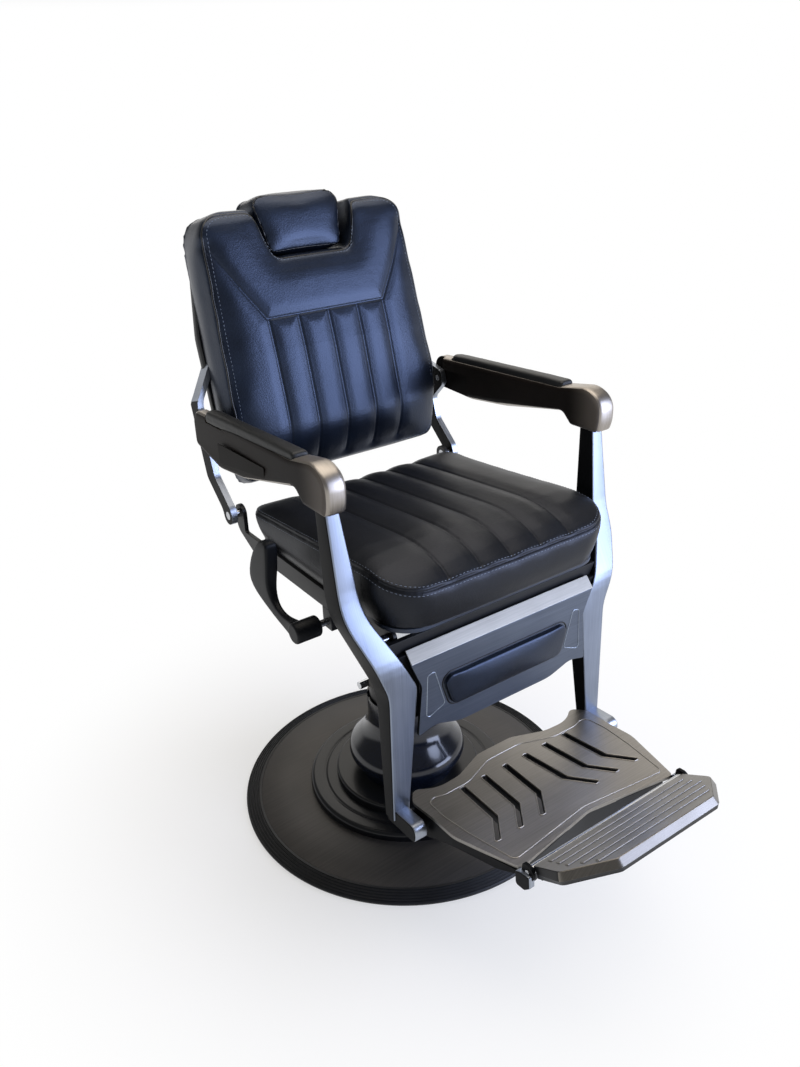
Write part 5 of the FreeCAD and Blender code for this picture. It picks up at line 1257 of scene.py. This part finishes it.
# %% Sew the small pads
def head_shape(points):
    """Fill the notch at the bottom and round the top over."""
    x, p, s = in_back(points).T
    up = np.clip((s - 440) / 107, 0, 1)
    wide = x * (78 + 19 * up) / (67 + 19 * up)
    crowned = p - 4 * (1 - (x / 90) ** 2) + 10 * up ** 4
    return out_of_back(np.column_stack([wide, crowned, s - 4 * (1 - up) + 4 * up]))


headrest = cushion("headrest_sewn", joined_copy("headrest_cushion", "headrest_form"), 3.5,
                   lambda p: in_back(p)[:, 1] > BACK_REAR - 2.5, 2, 5, head_shape, ease=2, lean=True)
head_half = [(78, 437, 14), (97, 551, 24)]
head_face = rounded(both_halves(head_half))
head_seam = onto(headrest, evenly([on_back((x, -24, s)) for x, s in head_face], 3, closed=True))
sew(headrest, [closed_up(head_seam)], ((2.0, 2.6), (1.2, 9)))
dress(headrest, "headrest", "leatherette", blue_sheen_cover, "headrest_cushion")
head_welt = tube("headrest_welt", onto(headrest, head_seam), 1.7)
dress(head_welt, "headrest", "leatherette", trim_cover)

PANEL_FACE = -306.0
calf = cushion("calf_pad_sewn", joined_copy("calf_pad", "calf_form"), 2.6,
               lambda p: p[:, 1] > PANEL_FACE, 2, 7, ease=6)
dress(calf, "leg_frame", "pad_leatherette", blue_sheen_cover, "calf_pad")
for side, sign in SIDES:
    pad_rings = []
    for inset, rise in ((0.5, 0.6), (0, 2), (0, 14), (1.5, 17.5), (4.5, 19.5)):
        pad_rings.append([(sign * x, y, pad_bed(y) + rise) for x, y in pad_outline(inset)])
    pad = cushion(f"arm_pad_{side}_sewn", loft("pad_form", pad_rings), 2.2,
                  lambda p: p[:, 2] < pad_bed(p[:, 1]) + 9, 0.8, 2.2, ease=1)
    dress(pad, f"{side}_arm", "pad_leatherette", pad_skin, f"arm_pad_{side}")
print("small pads sewn")

# %% [markdown]
# ## Floor, light and camera
# The chair stands on a plain pale floor that fades into the white background. A tall window in front, on
# the sitter's left, gives the cool sheen on the back. A warmer lamp above fills the seat, and one behind
# lights the base and footrest. The camera is where the photograph was taken from, with the same field of
# view.

# %% Stage
FLOOR = 60000
floor = skin("floor", [(-FLOOR, -FLOOR, 0), (FLOOR, -FLOOR, 0), (FLOOR, FLOOR, 0), (-FLOOR, FLOOR, 0)],
             [(0, 1, 2, 3)])
# Flat white paper: pale, and keeps a soft shadow.
paper, tree, shader, place = finish("pale_paper_floor")
fleck = add(tree, NOISE, {"Scale": 1 / 0.4, "Detail": 3.0, "Vector": place})
wire(shader, {"Base Color": add(tree, RAMP, {"stops": tones("#f4f4f4", "#f8f8f8"), "Fac": fleck}),
              "Roughness": 0.9})
# Away from the chair the paper runs into the white background. Only what looks at it sees that white.
from_chair = add(tree, "ShaderNodeVectorMath", {"operation": "LENGTH", 0: place})
fade = add(tree, RANGE, {"interpolation_type": "SMOOTHSTEP", "From Min": 0.2, "From Max": 0.9,
                         "To Min": 0.45, "Value": from_chair.outputs["Value"]})
seen = add(tree, "ShaderNodeLightPath").outputs
looks = add(tree, MATH, {"operation": "MAXIMUM", 0: seen["Is Camera Ray"], 1: seen["Is Glossy Ray"]})
looks = add(tree, MATH, {"operation": "MAXIMUM", 0: looks, 1: seen["Is Transmission Ray"]})
share = add(tree, MATH, {"operation": "MULTIPLY", 0: looks, 1: fade})
glow = add(tree, "ShaderNodeEmission", {"Color": (1, 1, 1, 1), "Strength": 1.0})
sheet = add(tree, "ShaderNodeMixShader", {0: share, 1: shader, 2: glow})
wire(tree.nodes["Material Output"], {"Surface": sheet})
floor.data.materials.append(paper)


def lamp(name, where, aim, size, power, tint):
    light = bpy.data.lights.new(name, "AREA")
    light.shape = "RECTANGLE"
    light.size, light.size_y = size
    light.energy = power
    light.color = colour(tint)[:3]
    holder = stand(name, light)
    holder.location = where
    holder.rotation_euler = (Vector(aim) - Vector(where)).to_track_quat("-Z", "Y").to_euler()


lamp("cool_window", (1.6, -2.3, 1.2), (0, 0, 0.8), (1.7, 2.1), 104, "#cfdcff")
lamp("soft_top", (0.3, 0.2, 3.2), (0, 0, 0.4), (2.4, 2.4), 48, "#fff6ea")
lamp("rear_sheen", (1.6, 2.2, 2.2), (0, 0, 0.6), (3.2, 2.2), 30, "#fffaf2")

# The world is a white horizon under a dimmer ceiling, so that metal keeps its contrast.
world = bpy.data.worlds.new("studio")
world.use_nodes = True
sky = world.node_tree
sky.nodes.clear()
up = add(sky, "ShaderNodeSeparateXYZ", {"Vector": add(sky, "ShaderNodeTexCoord").outputs["Generated"]})
horizon = [(0.0, 1.0), (0.068, 1.0), (0.2, 0.18), (1.0, 0.2)]
dome = add(sky, RAMP, {"stops": [(rise, (light, light, light, 1.0)) for rise, light in horizon],
                       "Fac": up.outputs["Z"]})
air = add(sky, "ShaderNodeBackground", {"Strength": 1.0, "Color": dome})
add(sky, "ShaderNodeOutputWorld", {"Surface": air})
scene = bpy.context.scene
scene.world = world
scene.view_settings.view_transform = "Standard"

eye = bpy.data.cameras.new("photo_view")
eye.lens = 31.54
eye.sensor_width = 36
camera = stand("photo_view", eye)
camera.location = (-0.8856, -1.2869, 1.3402)
camera.rotation_euler = [math.radians(a) for a in (64.102, 1.805, -35.454)]
scene.camera = camera
print("stage set")
